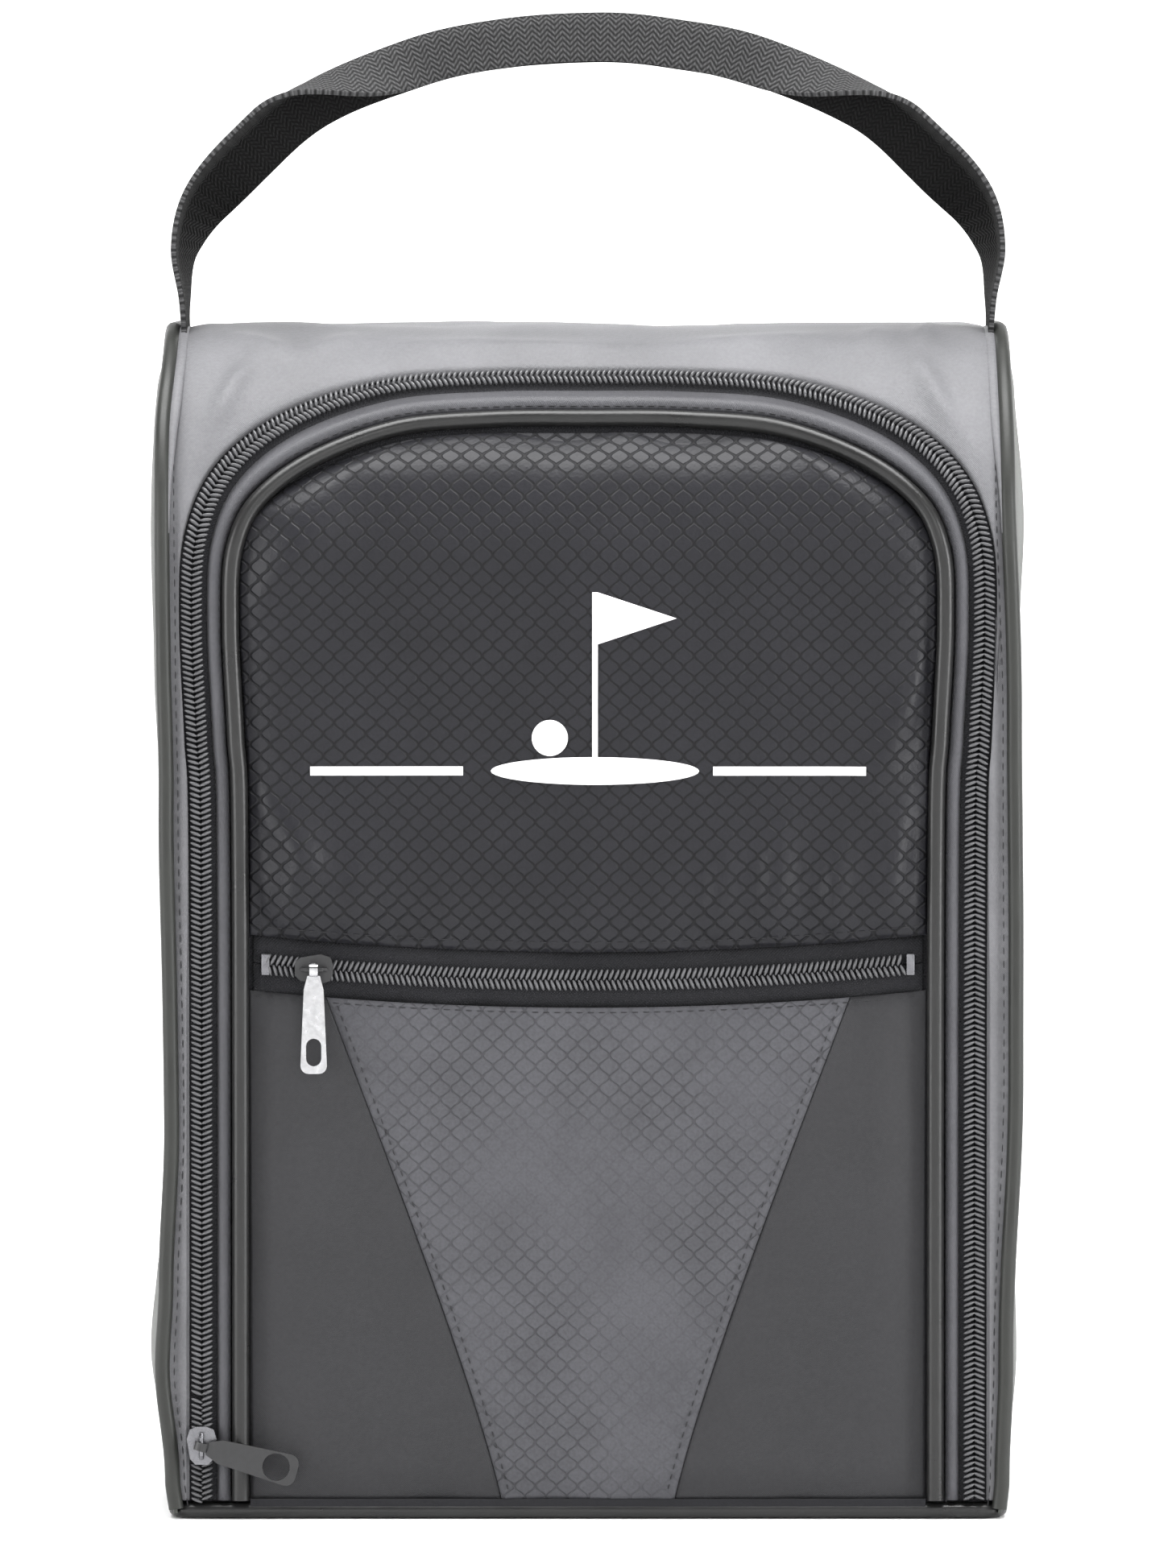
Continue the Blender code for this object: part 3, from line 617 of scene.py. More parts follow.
def make_surround():
    """One cloth round the door opening, over the shoulder and the top to the back seam."""

    def place(u, v):
        index = round(u * ZIP_STATIONS)
        inner = beside_zip(ZIP_LINE[index], SURROUND_INNER)
        outer = surround_outer_edge(index)
        near_seam = (abs(outer.x) / EDGE_X) ** 8
        outer.x += math.copysign(1, outer.x) * seam_lean(outer.x, seam_height(outer.y)) * near_seam
        flat = inner.lerp(outer, v)
        width = (outer - inner).length
        from_zip = v * width
        to_edge = EDGE_X - abs(flat.x)
        soft = smooth_step(0, 0.012, from_zip) * smooth_step(0, 0.010, to_edge)
        swell = 0.0010 * soft + crease_height(flat.x, flat.y, CREASES) * soft
        dents = 0.0011 * ripple(flat.x, flat.y, 0.045, 1.0) + 0.0004 * ripple(flat.x, flat.y, 0.016, 2.0)
        swell += soft * dents
        rolled = 0.0012 * (1 - smooth_step(0, 0.0045, to_edge))
        rolled += 0.0008 * (1 - smooth_step(0, 0.0012, from_zip))
        return front_point(flat.x, flat.y, swell - rolled + 0.0002), flat

    piece = sheet_piece("surround_cloth", ZIP_STATIONS, 44, place, TOP_CLOTH)
    finish_piece(piece, "shell", ("front_surround", "top_panel"))


SIDE_SWELLS = ((0.0, 0.0006), (0.045, 0.0030), (0.10, -0.0005), (0.17, 0.0006), (0.245, 0.0012),
               (0.29, 0.0038), (0.325, 0.0022), (0.343, 0.0))


def side_swell(z):
    """How far the side cloth bulges out at a height, from a soft curve through listed swells."""
    for (low, first), (high, second) in zip(SIDE_SWELLS, SIDE_SWELLS[1:]):
        if z <= high:
            return between(first, second, smooth_step(low, high, z))
    return SIDE_SWELLS[-1][1]


def make_side(name, side):
    """A side wall: a bowed cloth inside its seam, with long soft folds."""

    def place(u, v):
        z = between(0.0016, HEIGHT - 0.0006, math.sin(v * math.pi / 2))
        front = -HALF_DEPTH
        if z > SHOULDER_Z:
            front = SHOULDER_Y - math.sqrt(SHOULDER_RADIUS**2 - (z - SHOULDER_Z) ** 2)
        back = HALF_DEPTH
        if z > HEIGHT - BACK_RADIUS:
            back = BACK_CORNER_Y + math.sqrt(BACK_RADIUS**2 - (z - HEIGHT + BACK_RADIUS) ** 2)
        y = between(front, back, u)
        bow = math.sin(math.pi * u) ** 0.55
        top_fade = smooth_step(0, 0.030, HEIGHT - z)
        out = bow * (side_swell(z) + 0.0010)
        out += bow * 0.0016 * ripple(y * 0.6 + side, z, 0.055, 3.0) * top_fade
        out += bow * 0.0012 * math.sin(u * 9 + z * 30 + side) * math.exp(-(((z - 0.27) / 0.05) ** 2))
        return Vector((side * (HALF_WIDTH - 0.0030 + out + seam_lean(side, z)), y, z)), (y, z)

    piece = sheet_piece(name + "_cloth", 60, 130, place, SIDE_CLOTH)
    finish_piece(piece, "shell", (name,))


def make_side_piping(name, side):
    """The rolled edge between a side wall and the front, top and back, with a row of stitches beside it."""
    lengths = [0.0030 + index * (BACK_FOOT - 0.0060) / 220 for index in range(221)]
    x = side * (HALF_WIDTH - 0.0037)
    route = []
    for length in lengths:
        lean = seam_lean(side, seam_height(length)) + 0.0004 * ripple(length, side, 0.05, 4.0)
        route.append(front_point(x + side * lean, length, -0.0002))
    finish_piece(rod_piece(name + "_cord", route, 0.0022, SIDE_ROLL), "shell", (name,))
    seam = []
    for length in lengths:
        seam_x = EDGE_X - 0.0018 + seam_lean(side, seam_height(length))
        seam.append(front_point(side * seam_x, length))
    outward = []
    for length in lengths:
        outward.append((front_point(x, length, 0.01) - front_point(x, length)).normalized())
    beads = stitch_beads(seam, outward, length=0.0024, gap=0.0014, radius=0.0002)
    stitches = new_piece(name + "_stitches", bead_mesh(name + "_stitches", beads, 6, 4), THREAD)
    finish_piece(stitches, "shell")


def make_hem_strip(name, side):
    """The narrow light strip of the top cloth's hem beside the rolled edge, below the handle."""

    def place(u, v):
        s = between(0.285, SHOULDER_END + 0.015, u)
        fade = smooth_step(0.0, 0.4, u)
        edge = EDGE_X + seam_lean(side, seam_height(s))
        x = side * between(edge - 0.0005 - 0.0028 * fade, edge + 0.0004, v)
        return front_point(x, s, 0.0007 * math.sin(math.pi * v) + 0.0002), (x, s)

    finish_piece(sheet_piece(name, 60, 5, place, TOP_CLOTH, thickness=0.0006), "shell")


def make_back():
    def place(u, v):
        s = between(PROFILE_END + 0.0004, BACK_FOOT - 0.0022, v)
        z = seam_height(s)
        x = between(-EDGE_X - seam_lean(-1, z), EDGE_X + seam_lean(1, z), u)
        edge = min(EDGE_X - abs(x), s - PROFILE_END, BACK_FOOT - s)
        swell = smooth_step(0, 0.035, edge) * (0.0022 + 0.0012 * ripple(x, s, 0.06, 5.0))
        return front_point(x, s, swell - 0.0002), (x, s)

    piece = sheet_piece("back_cloth", 70, 90, place, SIDE_CLOTH)
    finish_piece(piece, "shell", ("back_panel",))


def rounded_rectangle(half_x, half_y, radius, z, steps=10):
    points = []
    corners = ((1, 1, 0), (-1, 1, 90), (-1, -1, 180), (1, -1, 270))
    for sign_x, sign_y, start in corners:
        for step in range(steps + 1):
            angle = math.radians(start + 90 * step / steps)
            x = sign_x * (half_x - radius) + radius * math.cos(angle)
            y = sign_y * (half_y - radius) + radius * math.sin(angle)
            points.append(Vector((x, y, z)))
    points.append(points[0].copy())
    return points


def make_base():
    """The base cloth with a bound edge all round."""

    def place(u, v):
        x = between(-0.1190, 0.1190, u)
        y = between(-HALF_DEPTH + 0.003, HALF_DEPTH - 0.003, v)
        return Vector((x, y, 0.0003 + 0.0003 * abs(ripple(x, y, 0.05, 6.0)))), (x, y)

    piece = sheet_piece("base_cloth", 40, 24, place, DARK_CLOTH)
    finish_piece(piece, "shell", ("base_panel",))
    route = rounded_rectangle(0.1192, HALF_DEPTH - 0.0012, 0.006, 0.0024)
    finish_piece(rod_piece("base_binding", route, 0.0021, PIPING), "shell")

    def inner_place(u, v):
        x = between(-0.1185, 0.1185, u)
        y = between(-HALF_DEPTH + 0.0055, HALF_DEPTH - 0.0035, v)
        return Vector((x, y, 0.0046 + 0.0003 * ripple(x, y, 0.04, 7.0))), (x, y)

    cover = sheet_piece("base_lining", 40, 24, inner_place, LINING_CLOTH, thickness=0.0004)
    finish_piece(cover, "shell")


# --- Zips ------------------------------------------------------------------------------------------

TAPE_LEVEL = -0.0014
TAPE_GAP = 0.00012
END_INDEX = next(index for index, station in enumerate(ZIP_LINE) if station[0].y > 0.034)


def zip_band(name, section, material, first=0, last=ZIP_STATIONS, thickness=0.0006):
    """A band along the main zip; its section lists (offset from the zip, height)."""

    def place(u, v):
        index = first + round(u * (last - first))
        row = round(v * (len(section) - 1))
        offset, height = section[row]
        flat = beside_zip(ZIP_LINE[index], offset)
        return front_point(flat.x, flat.y, height), (offset, u * 0.8 * (last - first) / ZIP_STATIONS)

    return sheet_piece(name, last - first, len(section) - 1, place, material, thickness)


def arched_section(start, end, base, rise, steps=8):
    """A rounded section between two offsets."""
    section = []
    for step in range(steps + 1):
        share = step / steps
        section.append((between(start, end, share), base + rise * math.sin(math.pi * share) ** 0.6))
    return section


def tooth(center, along, outward_flat, up, side):
    """One bead of the coil: long across the zip, leaning along it so that the two rows make chevrons."""
    across = (outward_flat * side + along * 0.42).normalized()
    wide = up.cross(across).normalized()
    middle = center + outward_flat * side * 0.00145 + up * 0.0004
    return middle, across * 0.00185, wide * 0.00056, up * 0.00105


def zip_frame(index_float, level):
    """Point, direction along and direction outward on the main zip at a fractional station."""
    low = min(int(index_float), ZIP_STATIONS - 1)
    share = index_float - low
    point = ZIP_LINE[low][0].lerp(ZIP_LINE[low + 1][0], share)
    outward = ZIP_LINE[low][1].lerp(ZIP_LINE[low + 1][1], share).normalized()
    along = Vector((outward.y, -outward.x))
    step = 0.0005
    here = front_point(point.x, point.y, level)
    ahead = front_point(point.x + along.x * step, point.y + along.y * step, level)
    aside = front_point(point.x + outward.x * step, point.y + outward.y * step, level)
    lengthwise = (ahead - here).normalized()
    sideways = (aside - here).normalized()
    up = sideways.cross(lengthwise).normalized()
    if up.dot(front_point(point.x, point.y, level + 0.01) - here) < 0:
        up = -up
    return here, lengthwise, sideways, up


def main_teeth(name, side, first, last, shift):
    length = sum((b[0] - a[0]).length for a, b in zip(ZIP_LINE, ZIP_LINE[1:]))
    step = TOOTH_PITCH / length * ZIP_STATIONS
    beads = []
    position = first + step * shift
    while position < last:
        here, lengthwise, sideways, up = zip_frame(position, TAPE_LEVEL + 0.0013)
        beads.append(tooth(here, lengthwise, sideways, up, side))
        position += step
    return new_piece(name, bead_mesh(name, beads), COIL)


def make_main_zip():
    outer = [(TAPE_GAP, TAPE_LEVEL), (0.0022, TAPE_LEVEL + 0.0002), (0.0046, TAPE_LEVEL)]
    inner = [(-offset, height) for offset, height in outer]
    tape = zip_band("zip_tape_outer", outer, TAPE, first=END_INDEX)
    finish_piece(tape, "shell", ("main_zip_tape_outer",))
    tape = zip_band("zip_tape_end", outer, TAPE, last=END_INDEX)
    finish_piece(tape, "door", ("main_zip_end_tape",))
    tape = zip_band("zip_tape_inner", inner, TAPE)
    finish_piece(tape, "door", ("main_zip_tape_inner",))
    teeth = main_teeth("zip_teeth_outer", 1, END_INDEX, ZIP_STATIONS, 0.0)
    finish_piece(teeth, "shell", ("main_zip_coil_outer",))
    teeth = main_teeth("zip_teeth_end", 1, 0, END_INDEX - 0.5, 0.0)
    finish_piece(teeth, "door", ("main_zip_end_coil",))
    teeth = main_teeth("zip_teeth_inner", -1, 0, ZIP_STATIONS, 0.5)
    finish_piece(teeth, "door", ("main_zip_coil_inner",))


def pocket_frame(x, level):
    z = pocket_arc_z(x, 0)
    slope = x / math.sqrt(POCKET_ARC_RADIUS**2 - x**2)
    along = Vector((1, 0, slope)).normalized()
    sideways = Vector((-slope, 0, 1)).normalized()
    return Vector((x, -HALF_DEPTH - level, z)), along, sideways, Vector((0, -1, 0))


def pocket_teeth(name, side, shift):
    beads = []
    count = int(2 * (POCKET_ZIP_HALF - 0.004) / TOOTH_PITCH)
    for index in range(count):
        x = -POCKET_ZIP_HALF + 0.004 + TOOTH_PITCH * (index + shift)
        here, along, sideways, up = pocket_frame(x, TAPE_LEVEL + 0.0013)
        beads.append(tooth(here, along, sideways, up, side))
    return new_piece(name, bead_mesh(name, beads), COIL)


def pocket_band(name, section, material, half=POCKET_ZIP_HALF, thickness=0.0006):
    """A band along the pocket zip's arc; its section lists (offset upwards, height)."""

    def place(u, v):
        x = between(-half, half, u)
        offset, height = section[round(v * (len(section) - 1))]
        return front_point(x, pocket_arc_z(x, offset), height), (x, offset)

    return sheet_piece(name, 90, len(section) - 1, place, material, thickness)


def make_pocket_zip():
    for name, side in (("upper", 1), ("lower", -1)):
        section = [
            (side * TAPE_GAP, TAPE_LEVEL),
            (side * 0.0035, TAPE_LEVEL),
            (side * 0.0090, TAPE_LEVEL - 0.0004),
        ]
        tape = pocket_band("pocket_tape_" + name, section, TAPE)
        finish_piece(tape, "door", ("pocket_zip_tape_" + name,))
        teeth = pocket_teeth("pocket_teeth_" + name, side, 0.0 if side > 0 else 0.5)
        finish_piece(teeth, "door", ("pocket_zip_coil_" + name,))


# --- Door ------------------------------------------------------------------------------------------


def panel_swell(x, s, foot, crown, edge_width):
    """The height of a padded panel: low at its seams, full a little way in."""
    half = panel_half_width(s)
    to_side = half - abs(x)
    to_top = PANEL_TOP - s
    to_foot = s - foot
    nearest = min(to_side, to_top * 0.9)
    rise = math.sin(smooth_step(-0.2 * edge_width, edge_width, nearest) * math.pi / 2)
    rise *= math.sin(smooth_step(-0.3 * edge_width, edge_width * 1.1, to_foot) * math.pi / 2)
    return crown * rise - 0.0016


def pucker(distance, position, spacing, reach, height, seed):
    """Small folds that run off a seam and die out."""
    if distance > reach * 3:
        return 0.0
    wobble = ripple(position, seed, spacing, seed)
    return height * wobble * math.exp(-(distance / reach) ** 2)


PANEL_CREASES = (
    # start x, start s, end x, end s, half width, height
    (0.036, 0.162, 0.040, 0.198, 0.0045, 0.0014),
    (0.052, 0.162, 0.056, 0.204, 0.0050, 0.0017),
    (0.068, 0.162, 0.073, 0.196, 0.0045, 0.0015),
    (0.083, 0.162, 0.091, 0.206, 0.0050, 0.0016),
    (0.101, 0.256, 0.080, 0.208, 0.0050, 0.0013),
    (-0.090, 0.162, -0.080, 0.200, 0.0055, 0.0014),
    (-0.072, 0.162, -0.064, 0.192, 0.0050, 0.0011),
    (-0.100, 0.214, -0.070, 0.178, 0.0055, 0.0012),
    (-0.100, 0.262, -0.070, 0.292, 0.0065, 0.0010),
)


def upper_height(x, s):
    foot = pocket_arc_z(x, POCKET_BAND)
    height = panel_swell(x, s, foot, 0.0052, 0.020)
    height += 0.0016 * ripple(x, s, 0.060, 8.0) + 0.0003 * ripple(x, s, 0.020, 9.0)
    height += pucker(s - foot, x, 0.012, 0.022, 0.0024, 10.0)
    height += pucker(PANEL_TOP - s, x, 0.022, 0.013, 0.0014, 11.0)
    height += pucker(panel_half_width(s) - abs(x), s, 0.020, 0.014, 0.0013, 12.0 + (x > 0))
    inside = smooth_step(0, 0.006, min(panel_half_width(s) - abs(x), PANEL_TOP - s, s - foot))
    height += crease_height(x, s, PANEL_CREASES) * inside
    return max(height, -0.0010)


def make_upper_panel():
    """The padded panel above the pocket, fullest a little way in from its seams."""

    def place(u, v):
        share = math.sin(v * math.pi / 2)
        middle = between(pocket_arc_z(0, POCKET_BAND), PANEL_TOP - 0.0003, share)
        half = panel_half_width(middle)
        spread = 2 * u - 1
        x = half * math.sin(spread * math.pi / 2) * 0.35 + half * spread * 0.65
        s = between(pocket_arc_z(x, POCKET_BAND), PANEL_TOP - 0.0003, share)
        return front_point(x, s, upper_height(x, s)), (x, s)

    piece = sheet_piece("upper_panel_cloth", 180, 150, place, RIPSTOP)
    finish_piece(piece, "door", ("door_upper_panel",))
    return piece


def lower_height(x, z):
    top = pocket_arc_z(x, -POCKET_BAND)
    half = panel_half_width(z)
    rise = smooth_step(-0.003, 0.016, half - abs(x)) * smooth_step(-0.006, 0.010, z - DOOR_FOOT)
    rise *= smooth_step(-0.005, 0.012, top - z)
    height = 0.0034 * rise - 0.0014
    height += rise * (0.0017 * ripple(x, z, 0.070, 13.0) + 0.00035 * ripple(x, z, 0.022, 14.0))
    height += pucker(top - z, x, 0.012, 0.010, 0.0007, 15.0)
    height += pucker(z - DOOR_FOOT, x, 0.018, 0.014, 0.0010, 16.0)
    return height


def seam_half(v):
    """Half the width of the centre panel at a share of the pocket's height."""
    return between(CENTER_BOTTOM_HALF, CENTER_TOP_HALF, v**1.15)


def make_pocket_front():
    def place_between(left, right, lift):
        def place(u, v):
            x = between(left(v), right(v), u)
            z = between(DOOR_FOOT - 0.0006, pocket_arc_z(x, -POCKET_BAND), v)
            seam = abs(abs(x) - seam_half(v))
            step = lift * smooth_step(0.0, 0.0011, seam)
            return front_point(x, z, lower_height(x, z) + step - 0.0003), (x, z)

        return place

    outer = panel_half_width(DOOR_FOOT)
    overlap = 0.0002
    panels = (
        ("left", lambda v: -outer, lambda v: -seam_half(v) - overlap, DARK_CLOTH, "dark_fabric", 50, 0.0),
        ("center", lambda v: -seam_half(v), seam_half, CENTER_RIPSTOP, "center_fabric", 90, 0.0006),
        ("right", lambda v: seam_half(v) + overlap, lambda v: outer, DARK_CLOTH, "dark_fabric", 50, 0.0),
    )
    for name, left, right, material, slot, columns, lift in panels:
        place = place_between(left, right, lift)
        piece = sheet_piece("pocket_cloth_" + name, columns, 110, place, material)
        finish_piece(piece, "door", ("pocket_panel_" + name,))


def make_door_trim():
    """The binding beside the zip, the piping, and a dark sheet as painted shade in the groove before the
    panels.
    """
    binding = zip_band("binding_cloth", arched_section(-0.0044, -0.0086, -0.0014, 0.0020), TRIM_CLOTH)
    finish_piece(binding, "door", ("door_binding",))
    route = []
    for station in ZIP_LINE:
        flat = beside_zip(station, -0.0112)
        route.append(front_point(flat.x, flat.y, 0.0004))
    piping = rod_piece("piping_cord", route, 0.0025, PIPING, resolution=6)
    finish_piece(piping, "door", ("door_piping",))
    # A near-black sheet of zip-tape cloth lines the groove, standing in for its shade: painted shade.
    groove = zip_band("groove_painted_shade", [(-0.0078, -0.0014), (-0.0112, -0.0022), (-0.0155, -0.0026)], TAPE)
    finish_piece(groove, "door")


def make_door_inside():
    """The lining and the cloth that wraps the door's edge."""
    edge = [
        (-0.0040, -0.0030),
        (-0.0052, -0.0062),
        (-0.0070, -0.0098),
        (-0.0100, -0.0122),
        (-0.0160, -0.0128),
    ]
    wrap = zip_band("door_edge_lining", edge, LINING_CLOTH)
    finish_piece(wrap, "door")

    def place(u, v):
        top = PANEL_TOP - 0.0008
        s = between(DOOR_FOOT + 0.0010, top, math.sin(v * math.pi / 2))
        half = panel_half_width(s) - 0.0005
        x = half * (2 * u - 1)
        near = min(half - abs(x), top - s, s - DOOR_FOOT)
        sink = 0.0010 * smooth_step(0, 0.010, near) * (1 + 0.7 * ripple(x, s, 0.03, 17.0))
        return front_point(x, s, -0.0128 - sink), (x, s)

    lining = sheet_piece("door_lining_cloth", 60, 80, place, LINING_CLOTH, thickness=0.0004)
    finish_piece(lining, "door", ("door_lining",))


def surface_stitches(name, route, height, body, slot, **sizes):
    """A row of stitches through (x, s) points, lying on the cloth whose height is given by a function."""
    points = []
    outward = []
    for flat in route:
        level = height(flat.x, flat.y)
        points.append(front_point(flat.x, flat.y, level))
        outward.append((front_point(flat.x, flat.y, level + 0.01) - points[-1]).normalized())
    beads = stitch_beads(points, outward, **sizes)
    stitches = new_piece(name, bead_mesh(name, beads, 6, 4), THREAD)
    finish_piece(stitches, body)


def make_stitches():
    steps = 400
    xs = [between(-0.0965, 0.0965, index / steps) for index in range(steps + 1)]
    above = [Vector((x, pocket_arc_z(x, 0.0108))) for x in xs]
    surface_stitches("stitches_above_pocket", above, upper_height, "door", "ripstop")
    below = [Vector((x, pocket_arc_z(x, -0.0094))) for x in xs]
    surface_stitches("stitches_below_pocket", below, lambda x, z: lower_height(x, z) + 0.0002, "door",
                     "dark_fabric")
    for name, side in (("left", -1), ("right", 1)):
        route = []
        for index in range(steps + 1):
            v = between(0.99, 0.01, index / steps)
            x = side * (seam_half(v) - 0.0024)
            route.append(Vector((x, between(DOOR_FOOT, pocket_arc_z(x, -POCKET_BAND), v))))
        surface_stitches("seam_stitches_" + name, route, lambda x, z: lower_height(x, z) + 0.0004, "door",
                         "center_fabric", length=0.0019, gap=0.0013)
    route = [beside_zip(station, -0.0080) for station in ZIP_LINE]
    surface_stitches("binding_stitches", route, lambda x, s: -0.0001, "door", "dark_fabric", radius=0.00018)


# --- Print on the door: a plain flag, hole and ball ------------------------------------------------


def strip_points(start, end, half):
    """The corners of an upright strip, half of its width to each side of its ends."""
    low = [(start[0] - half, start[1]), (start[0] + half, start[1])]
    return low + [(end[0] + half, end[1]), (end[0] - half, end[1])]


def ellipse_points(center, half_x, half_z, count=40):
    points = []
    for index in range(count):
        angle = 2 * math.pi * index / count
        points.append((center[0] + half_x * math.cos(angle), center[1] + half_z * math.sin(angle)))
    return points


def make_print(panel):
    """A generic golf sign in white print: flag, pin, ground line and ball."""
    tree = BVHTree.FromObject(panel, bpy.context.evaluated_depsgraph_get())
    shapes = []
    center = Vector((-0.002, 0.238))
    pin_x = center.x + 0.004
    pin_half = 0.0008
    pin_top = center.y + 0.030
    shapes.append(strip_points((pin_x, center.y - 0.020), (pin_x, pin_top), pin_half))
    flag_tip = (pin_x + 0.0235, center.y + 0.0225)
    shapes.append([(pin_x + pin_half, pin_top), flag_tip, (pin_x + pin_half, center.y + 0.015)])
    shapes.append(ellipse_points((pin_x, center.y - 0.0215), 0.0300, 0.0040))
    for left, right in ((-0.080, -0.036), (0.036, 0.080)):
        low, high = center.y - 0.0228, center.y - 0.0202
        shapes.append([(left, low), (right, low), (right, high), (left, high)])
    shapes.append(ellipse_points((pin_x - 0.0130, center.y - 0.0120), 0.0052, 0.0052))
    mesh_data = bmesh.new()
    for outline in shapes:
        corners = [mesh_data.verts.new((x, 0, z)) for x, z in outline]
        mesh_data.faces.new(corners)
    bmesh.ops.triangulate(mesh_data, faces=mesh_data.faces)
    for _ in range(3):
        long_edges = [edge for edge in mesh_data.edges if edge.calc_length() > 0.0025]
        bmesh.ops.subdivide_edges(mesh_data, edges=long_edges, cuts=1, use_grid_fill=False)
        bmesh.ops.triangulate(mesh_data, faces=mesh_data.faces)
    for vertex in mesh_data.verts:
        hit = tree.ray_cast(Vector((vertex.co.x, -0.2, vertex.co.z)), Vector((0, 1, 0)))[0]
        if hit:
            vertex.co.y = hit.y - 0.00030
    bmesh.ops.recalc_face_normals(mesh_data, faces=mesh_data.faces)
    mesh = bpy.data.meshes.new("door_print")
    mesh_data.to_mesh(mesh)
    mesh_data.free()
    face_outward(mesh)
    piece = new_piece("door_print", mesh, PRINT)
    thicken = piece.modifiers.new("thickness", "SOLIDIFY")
    thicken.thickness = 0.00012
    thicken.offset = -1
    finish_piece(piece, "door")


# --- Handle ----------------------------------------------------------------------------------------


def fold_angles(t):
    """Angles of the webbing's front and rear halves away from straight down, at a share of each side."""
    front = between(90, 98, smooth_step(0.10, 0.36, t))
    front = between(front, 5, smooth_step(0.42, 0.74, t))
    rear = between(90, 24, smooth_step(0.02, 0.34, t))
    rear = between(rear, 5, smooth_step(0.55, 0.80, t))
    return math.radians(front), math.radians(rear)


def make_handle():
    """Webbing sewn flat into the top seams, rolled along its rise and folded in half over the grip."""
    route = smooth_route(mirrored_route(HANDLE_HALF_ROUTE), HANDLE_STATIONS)
    length = sum((b - a).length for a, b in zip(route, route[1:]))
    across_steps = 20

    def place(u, v):
        index = round(u * HANDLE_STATIONS)
        point = route[index]
        along = route[min(index + 1, HANDLE_STATIONS)] - route[max(index - 1, 0)]
        outward = Vector((-along.y, along.x)).normalized()
        t = 1 - abs(2 * u - 1)
        front, rear = fold_angles(t)
        reach = WEBBING_HALF * abs(2 * v - 1)
        round_off = 0.0022
        is_front = v < 0.5
        side = -1 if is_front else 1
        angle = front if is_front else rear
        bend = (front + rear) / 2
        near = smooth_step(0, round_off * 1.6, reach)
        down = -math.cos(angle) * reach
        sideways = math.sin(angle) * reach * side
        rounding = (1 - near) * round_off * max(0.0, math.cos(bend))
        down -= rounding * 0.35
        if front + rear < math.pi:
            sideways += side * round_off * 0.42 * near * math.cos(min(bend, math.pi / 2))
        flutter = 0.0005 * ripple(u * length, reach, 0.03, 18.0 + side)
        edge = point + outward * (down + flutter)
        return Vector((edge.x, HANDLE_Y + sideways, edge.y)), (u * length, v * WEBBING_HALF * 2)

    piece = sheet_piece("handle_webbing", HANDLE_STATIONS, across_steps, place, STRAP, WEBBING_THICKNESS)
    # The inner skin gets the darker copy of the webbing: painted shade on the face that is in shadow.
    piece.data.materials.append(WEBBING_PAINTED_SHADE)
    piece.modifiers["thickness"].material_offset = 1
    ease = piece.modifiers.new("soft_edges", "BEVEL")
    ease.width = 0.0004
    ease.segments = 2
    ease.limit_method = "ANGLE"
    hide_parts("handle_strap")
    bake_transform(piece)


# --- Parts of the frame that stay ------------------------------------------------------------------

KEPT = {
    "main_slider_body": (GUNMETAL, 0.0003),
    "main_slider_bridge": (GUNMETAL, 0.0),
    "main_pull_tab": (BLACK_PAINT, 0.00025),
    "pocket_slider_body": (BLACK_PAINT, 0.0003),
    "pocket_slider_bridge": (BLACK_PAINT, 0.0),
    "pocket_pull_tab": (NICKEL, 0.00025),
    "pocket_zip_stop_left": (GUNMETAL, 0.0),
    "pocket_zip_stop_right": (GUNMETAL, 0.0),
    "base_board": (BOARD, 0.0),
    "back_board": (LINING_CLOTH, 0.0),
    "upper_padding": (FOAM, 0.0),
    "door_foam": (FOAM, 0.0),
    "pocket_lining": (LINING_CLOTH, 0.0),
    "door_hinge_tape": (TAPE, 0.0003),
    # The tails take the darker webbing copy too: painted shade.
    "handle_tail_left": (WEBBING_PAINTED_SHADE, 0.0),
    "handle_tail_right": (WEBBING_PAINTED_SHADE, 0.0),
}


def dress_kept_nodes():
    for name, (material, ease_width) in KEPT.items():
        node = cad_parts[name]
        node.data.materials.clear()
        node.data.materials.append(material)
        if ease_width:
            ease = node.modifiers.new("eased_edges", "BEVEL")
            ease.width = ease_width
            ease.segments = 2
            ease.limit_method = "ANGLE"
            ease.angle_limit = math.radians(40)


# --- Floor, light and camera -----------------------------------------------------------------------

VIEW_CENTER_Z = 0.2126
VIEW_HEIGHT = 0.452
CAMERA_DISTANCE = 4.0
CAMERA_ELEVATION = math.radians(2.5)
SENSOR = 36.0
FLOOR_RADIUS = 0.9
BACKDROP_RADIUS = 11.0
BACKDROP_HEIGHT = 5.0


def make_round_stage(name, profile, material):
    """A surface of revolution about the vertical axis, as part of the stage."""
    spokes = 64
    vertices = []
    for radius, z in profile:
        for spoke in range(spokes):
            angle = 2 * math.pi * spoke / spokes
            vertices.append((radius * math.cos(angle), radius * math.sin(angle), z))
    faces = []
    for ring in range(len(profile) - 1):
        for spoke in range(spokes):
            corner = ring * spokes + spoke
            following = ring * spokes + (spoke + 1) % spokes
            faces.append((corner, following, following + spokes, corner + spokes))
    mesh = bpy.data.meshes.new(name)
    mesh.from_pydata(vertices, [], faces)
    new_piece(name, mesh, material)


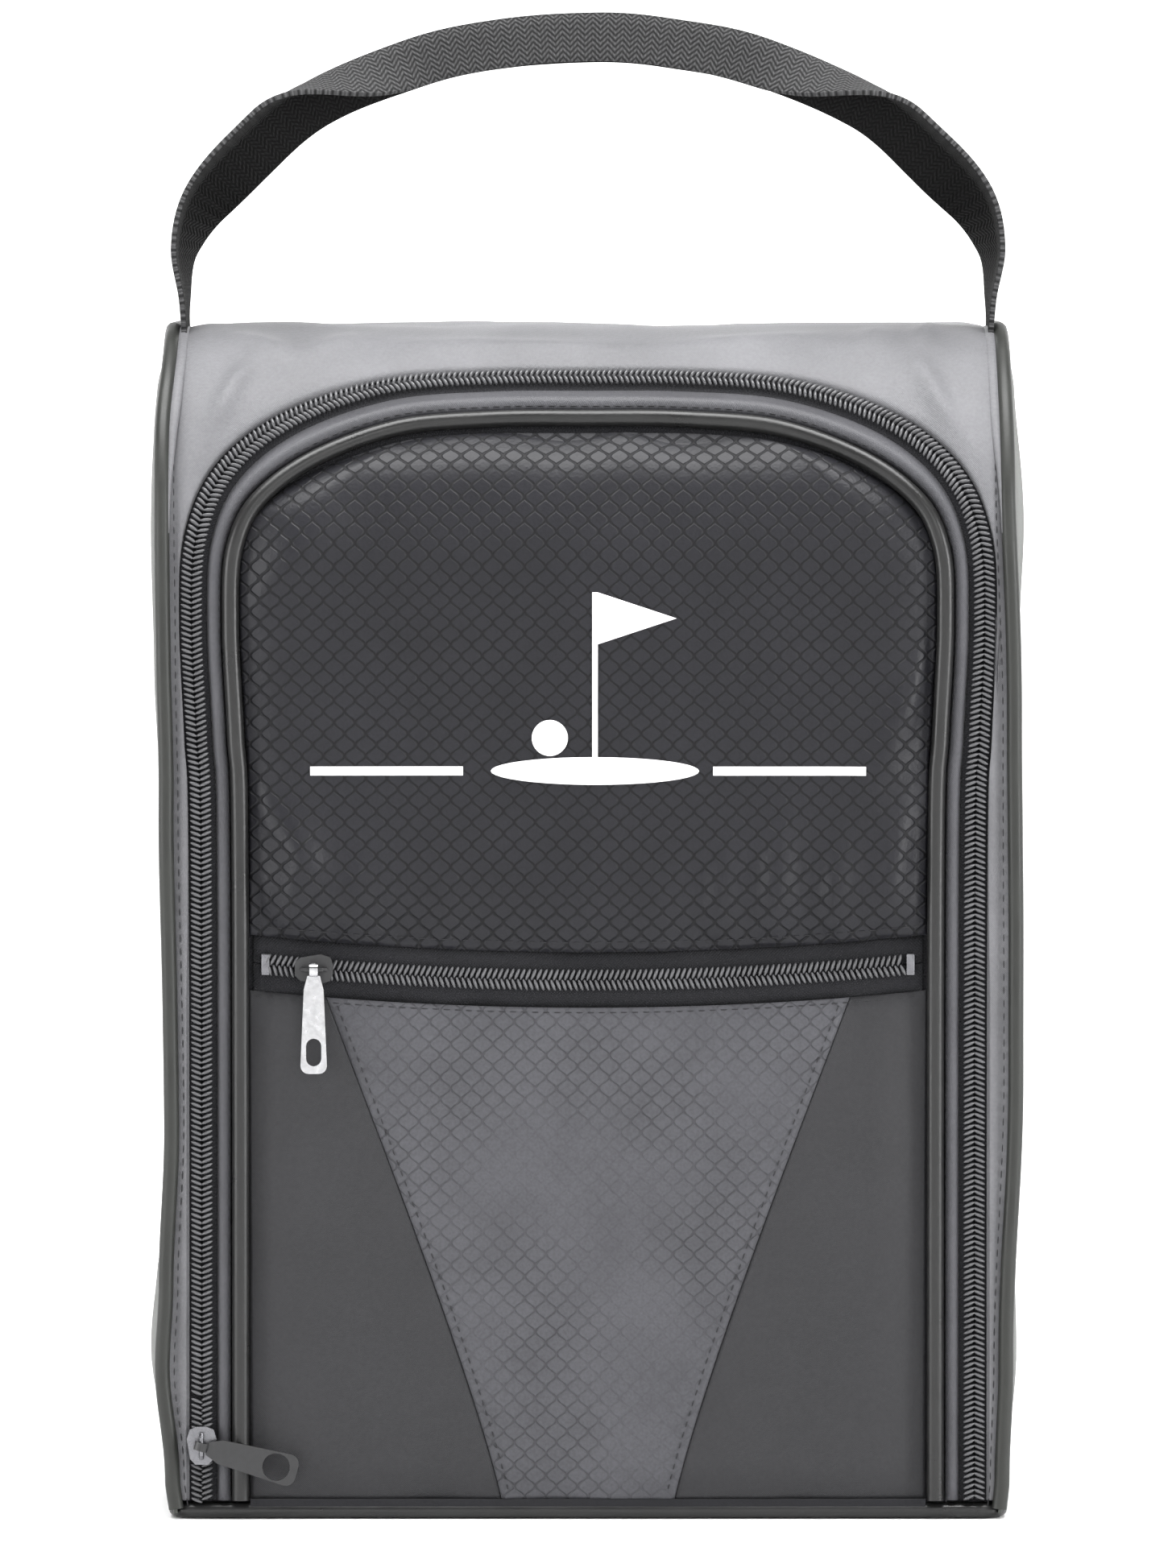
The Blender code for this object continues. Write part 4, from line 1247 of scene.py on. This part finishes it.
def make_floor():
    """A pale round floor that runs out into a glowing white surround with a curved rim."""
    floor = Graph("pale_floor", (0.92, 0.92, 0.92), 0.8, specular=0.1)
    make_round_stage("floor", [(0.0, 0.0), (FLOOR_RADIUS, 0.0)], floor.material)
    surround = Graph("glowing_paper", (0.92, 0.92, 0.92), 0.8, specular=0.1)
    surround.shader.inputs["Emission Color"].default_value = (1, 1, 1, 1)
    surround.shader.inputs["Emission Strength"].default_value = 0.85
    profile = [(FLOOR_RADIUS, 0.0), (BACKDROP_RADIUS, 0.0)]
    for step in range(1, 13):
        angle = math.radians(90 * step / 12)
        profile.append((BACKDROP_RADIUS + math.sin(angle), 1.0 - math.cos(angle)))
    profile.append((BACKDROP_RADIUS + 1.0, BACKDROP_HEIGHT))
    make_round_stage("backdrop", profile, surround.material)


def area_light(name, place, size, power, target=(0, 0, 0.2)):
    light = bpy.data.lights.new(name, "AREA")
    light.shape = "RECTANGLE"
    light.size, light.size_y = size
    light.energy = power
    lamp = bpy.data.objects.new(name, light)
    lamp.location = place
    lamp.rotation_euler = (Vector(target) - Vector(place)).to_track_quat("-Z", "Y").to_euler()
    bpy.context.scene.collection.objects.link(lamp)


def make_lights():
    area_light("top_light", (0.0, -0.15, 1.5), (1.5, 0.9), 46)
    area_light("left_light", (-1.5, -0.7, 0.5), (0.4, 1.2), 13)
    area_light("right_light", (1.5, -0.7, 0.6), (0.4, 1.2), 19)
    area_light("front_light", (0.8, -2.2, 1.5), (1.0, 0.6), 9)
    world = bpy.data.worlds.new("studio")
    world.use_nodes = True
    background = world.node_tree.nodes["Background"]
    background.inputs["Color"].default_value = (1, 1, 1, 1)
    background.inputs["Strength"].default_value = 0.34
    bpy.context.scene.world = world
    bpy.context.scene.view_settings.view_transform = "Standard"


def make_camera():
    camera_data = bpy.data.cameras.new("camera")
    camera_data.sensor_width = SENSOR
    camera_data.lens = SENSOR * CAMERA_DISTANCE / VIEW_HEIGHT
    camera_data.clip_end = 60
    camera = bpy.data.objects.new("camera", camera_data)
    target = Vector((0, -HALF_DEPTH, VIEW_CENTER_Z))
    back = Vector((0, -math.cos(CAMERA_ELEVATION), math.sin(CAMERA_ELEVATION)))
    camera.location = target + back * CAMERA_DISTANCE
    camera.rotation_euler = (target - camera.location).to_track_quat("-Z", "Y").to_euler()
    bpy.context.scene.collection.objects.link(camera)
    bpy.context.scene.camera = camera


make_camera()
make_floor()
make_lights()
make_surround()
make_side("side_gusset_left", -1)
make_side("side_gusset_right", 1)
make_side_piping("side_piping_left", -1)
make_side_piping("side_piping_right", 1)
make_hem_strip("hem_strip_left", -1)
make_hem_strip("hem_strip_right", 1)
make_back()
make_base()
make_main_zip()
make_pocket_zip()
upper_panel = make_upper_panel()
make_pocket_front()
make_door_trim()
make_door_inside()
make_stitches()
make_print(upper_panel)
make_handle()
dress_kept_nodes()
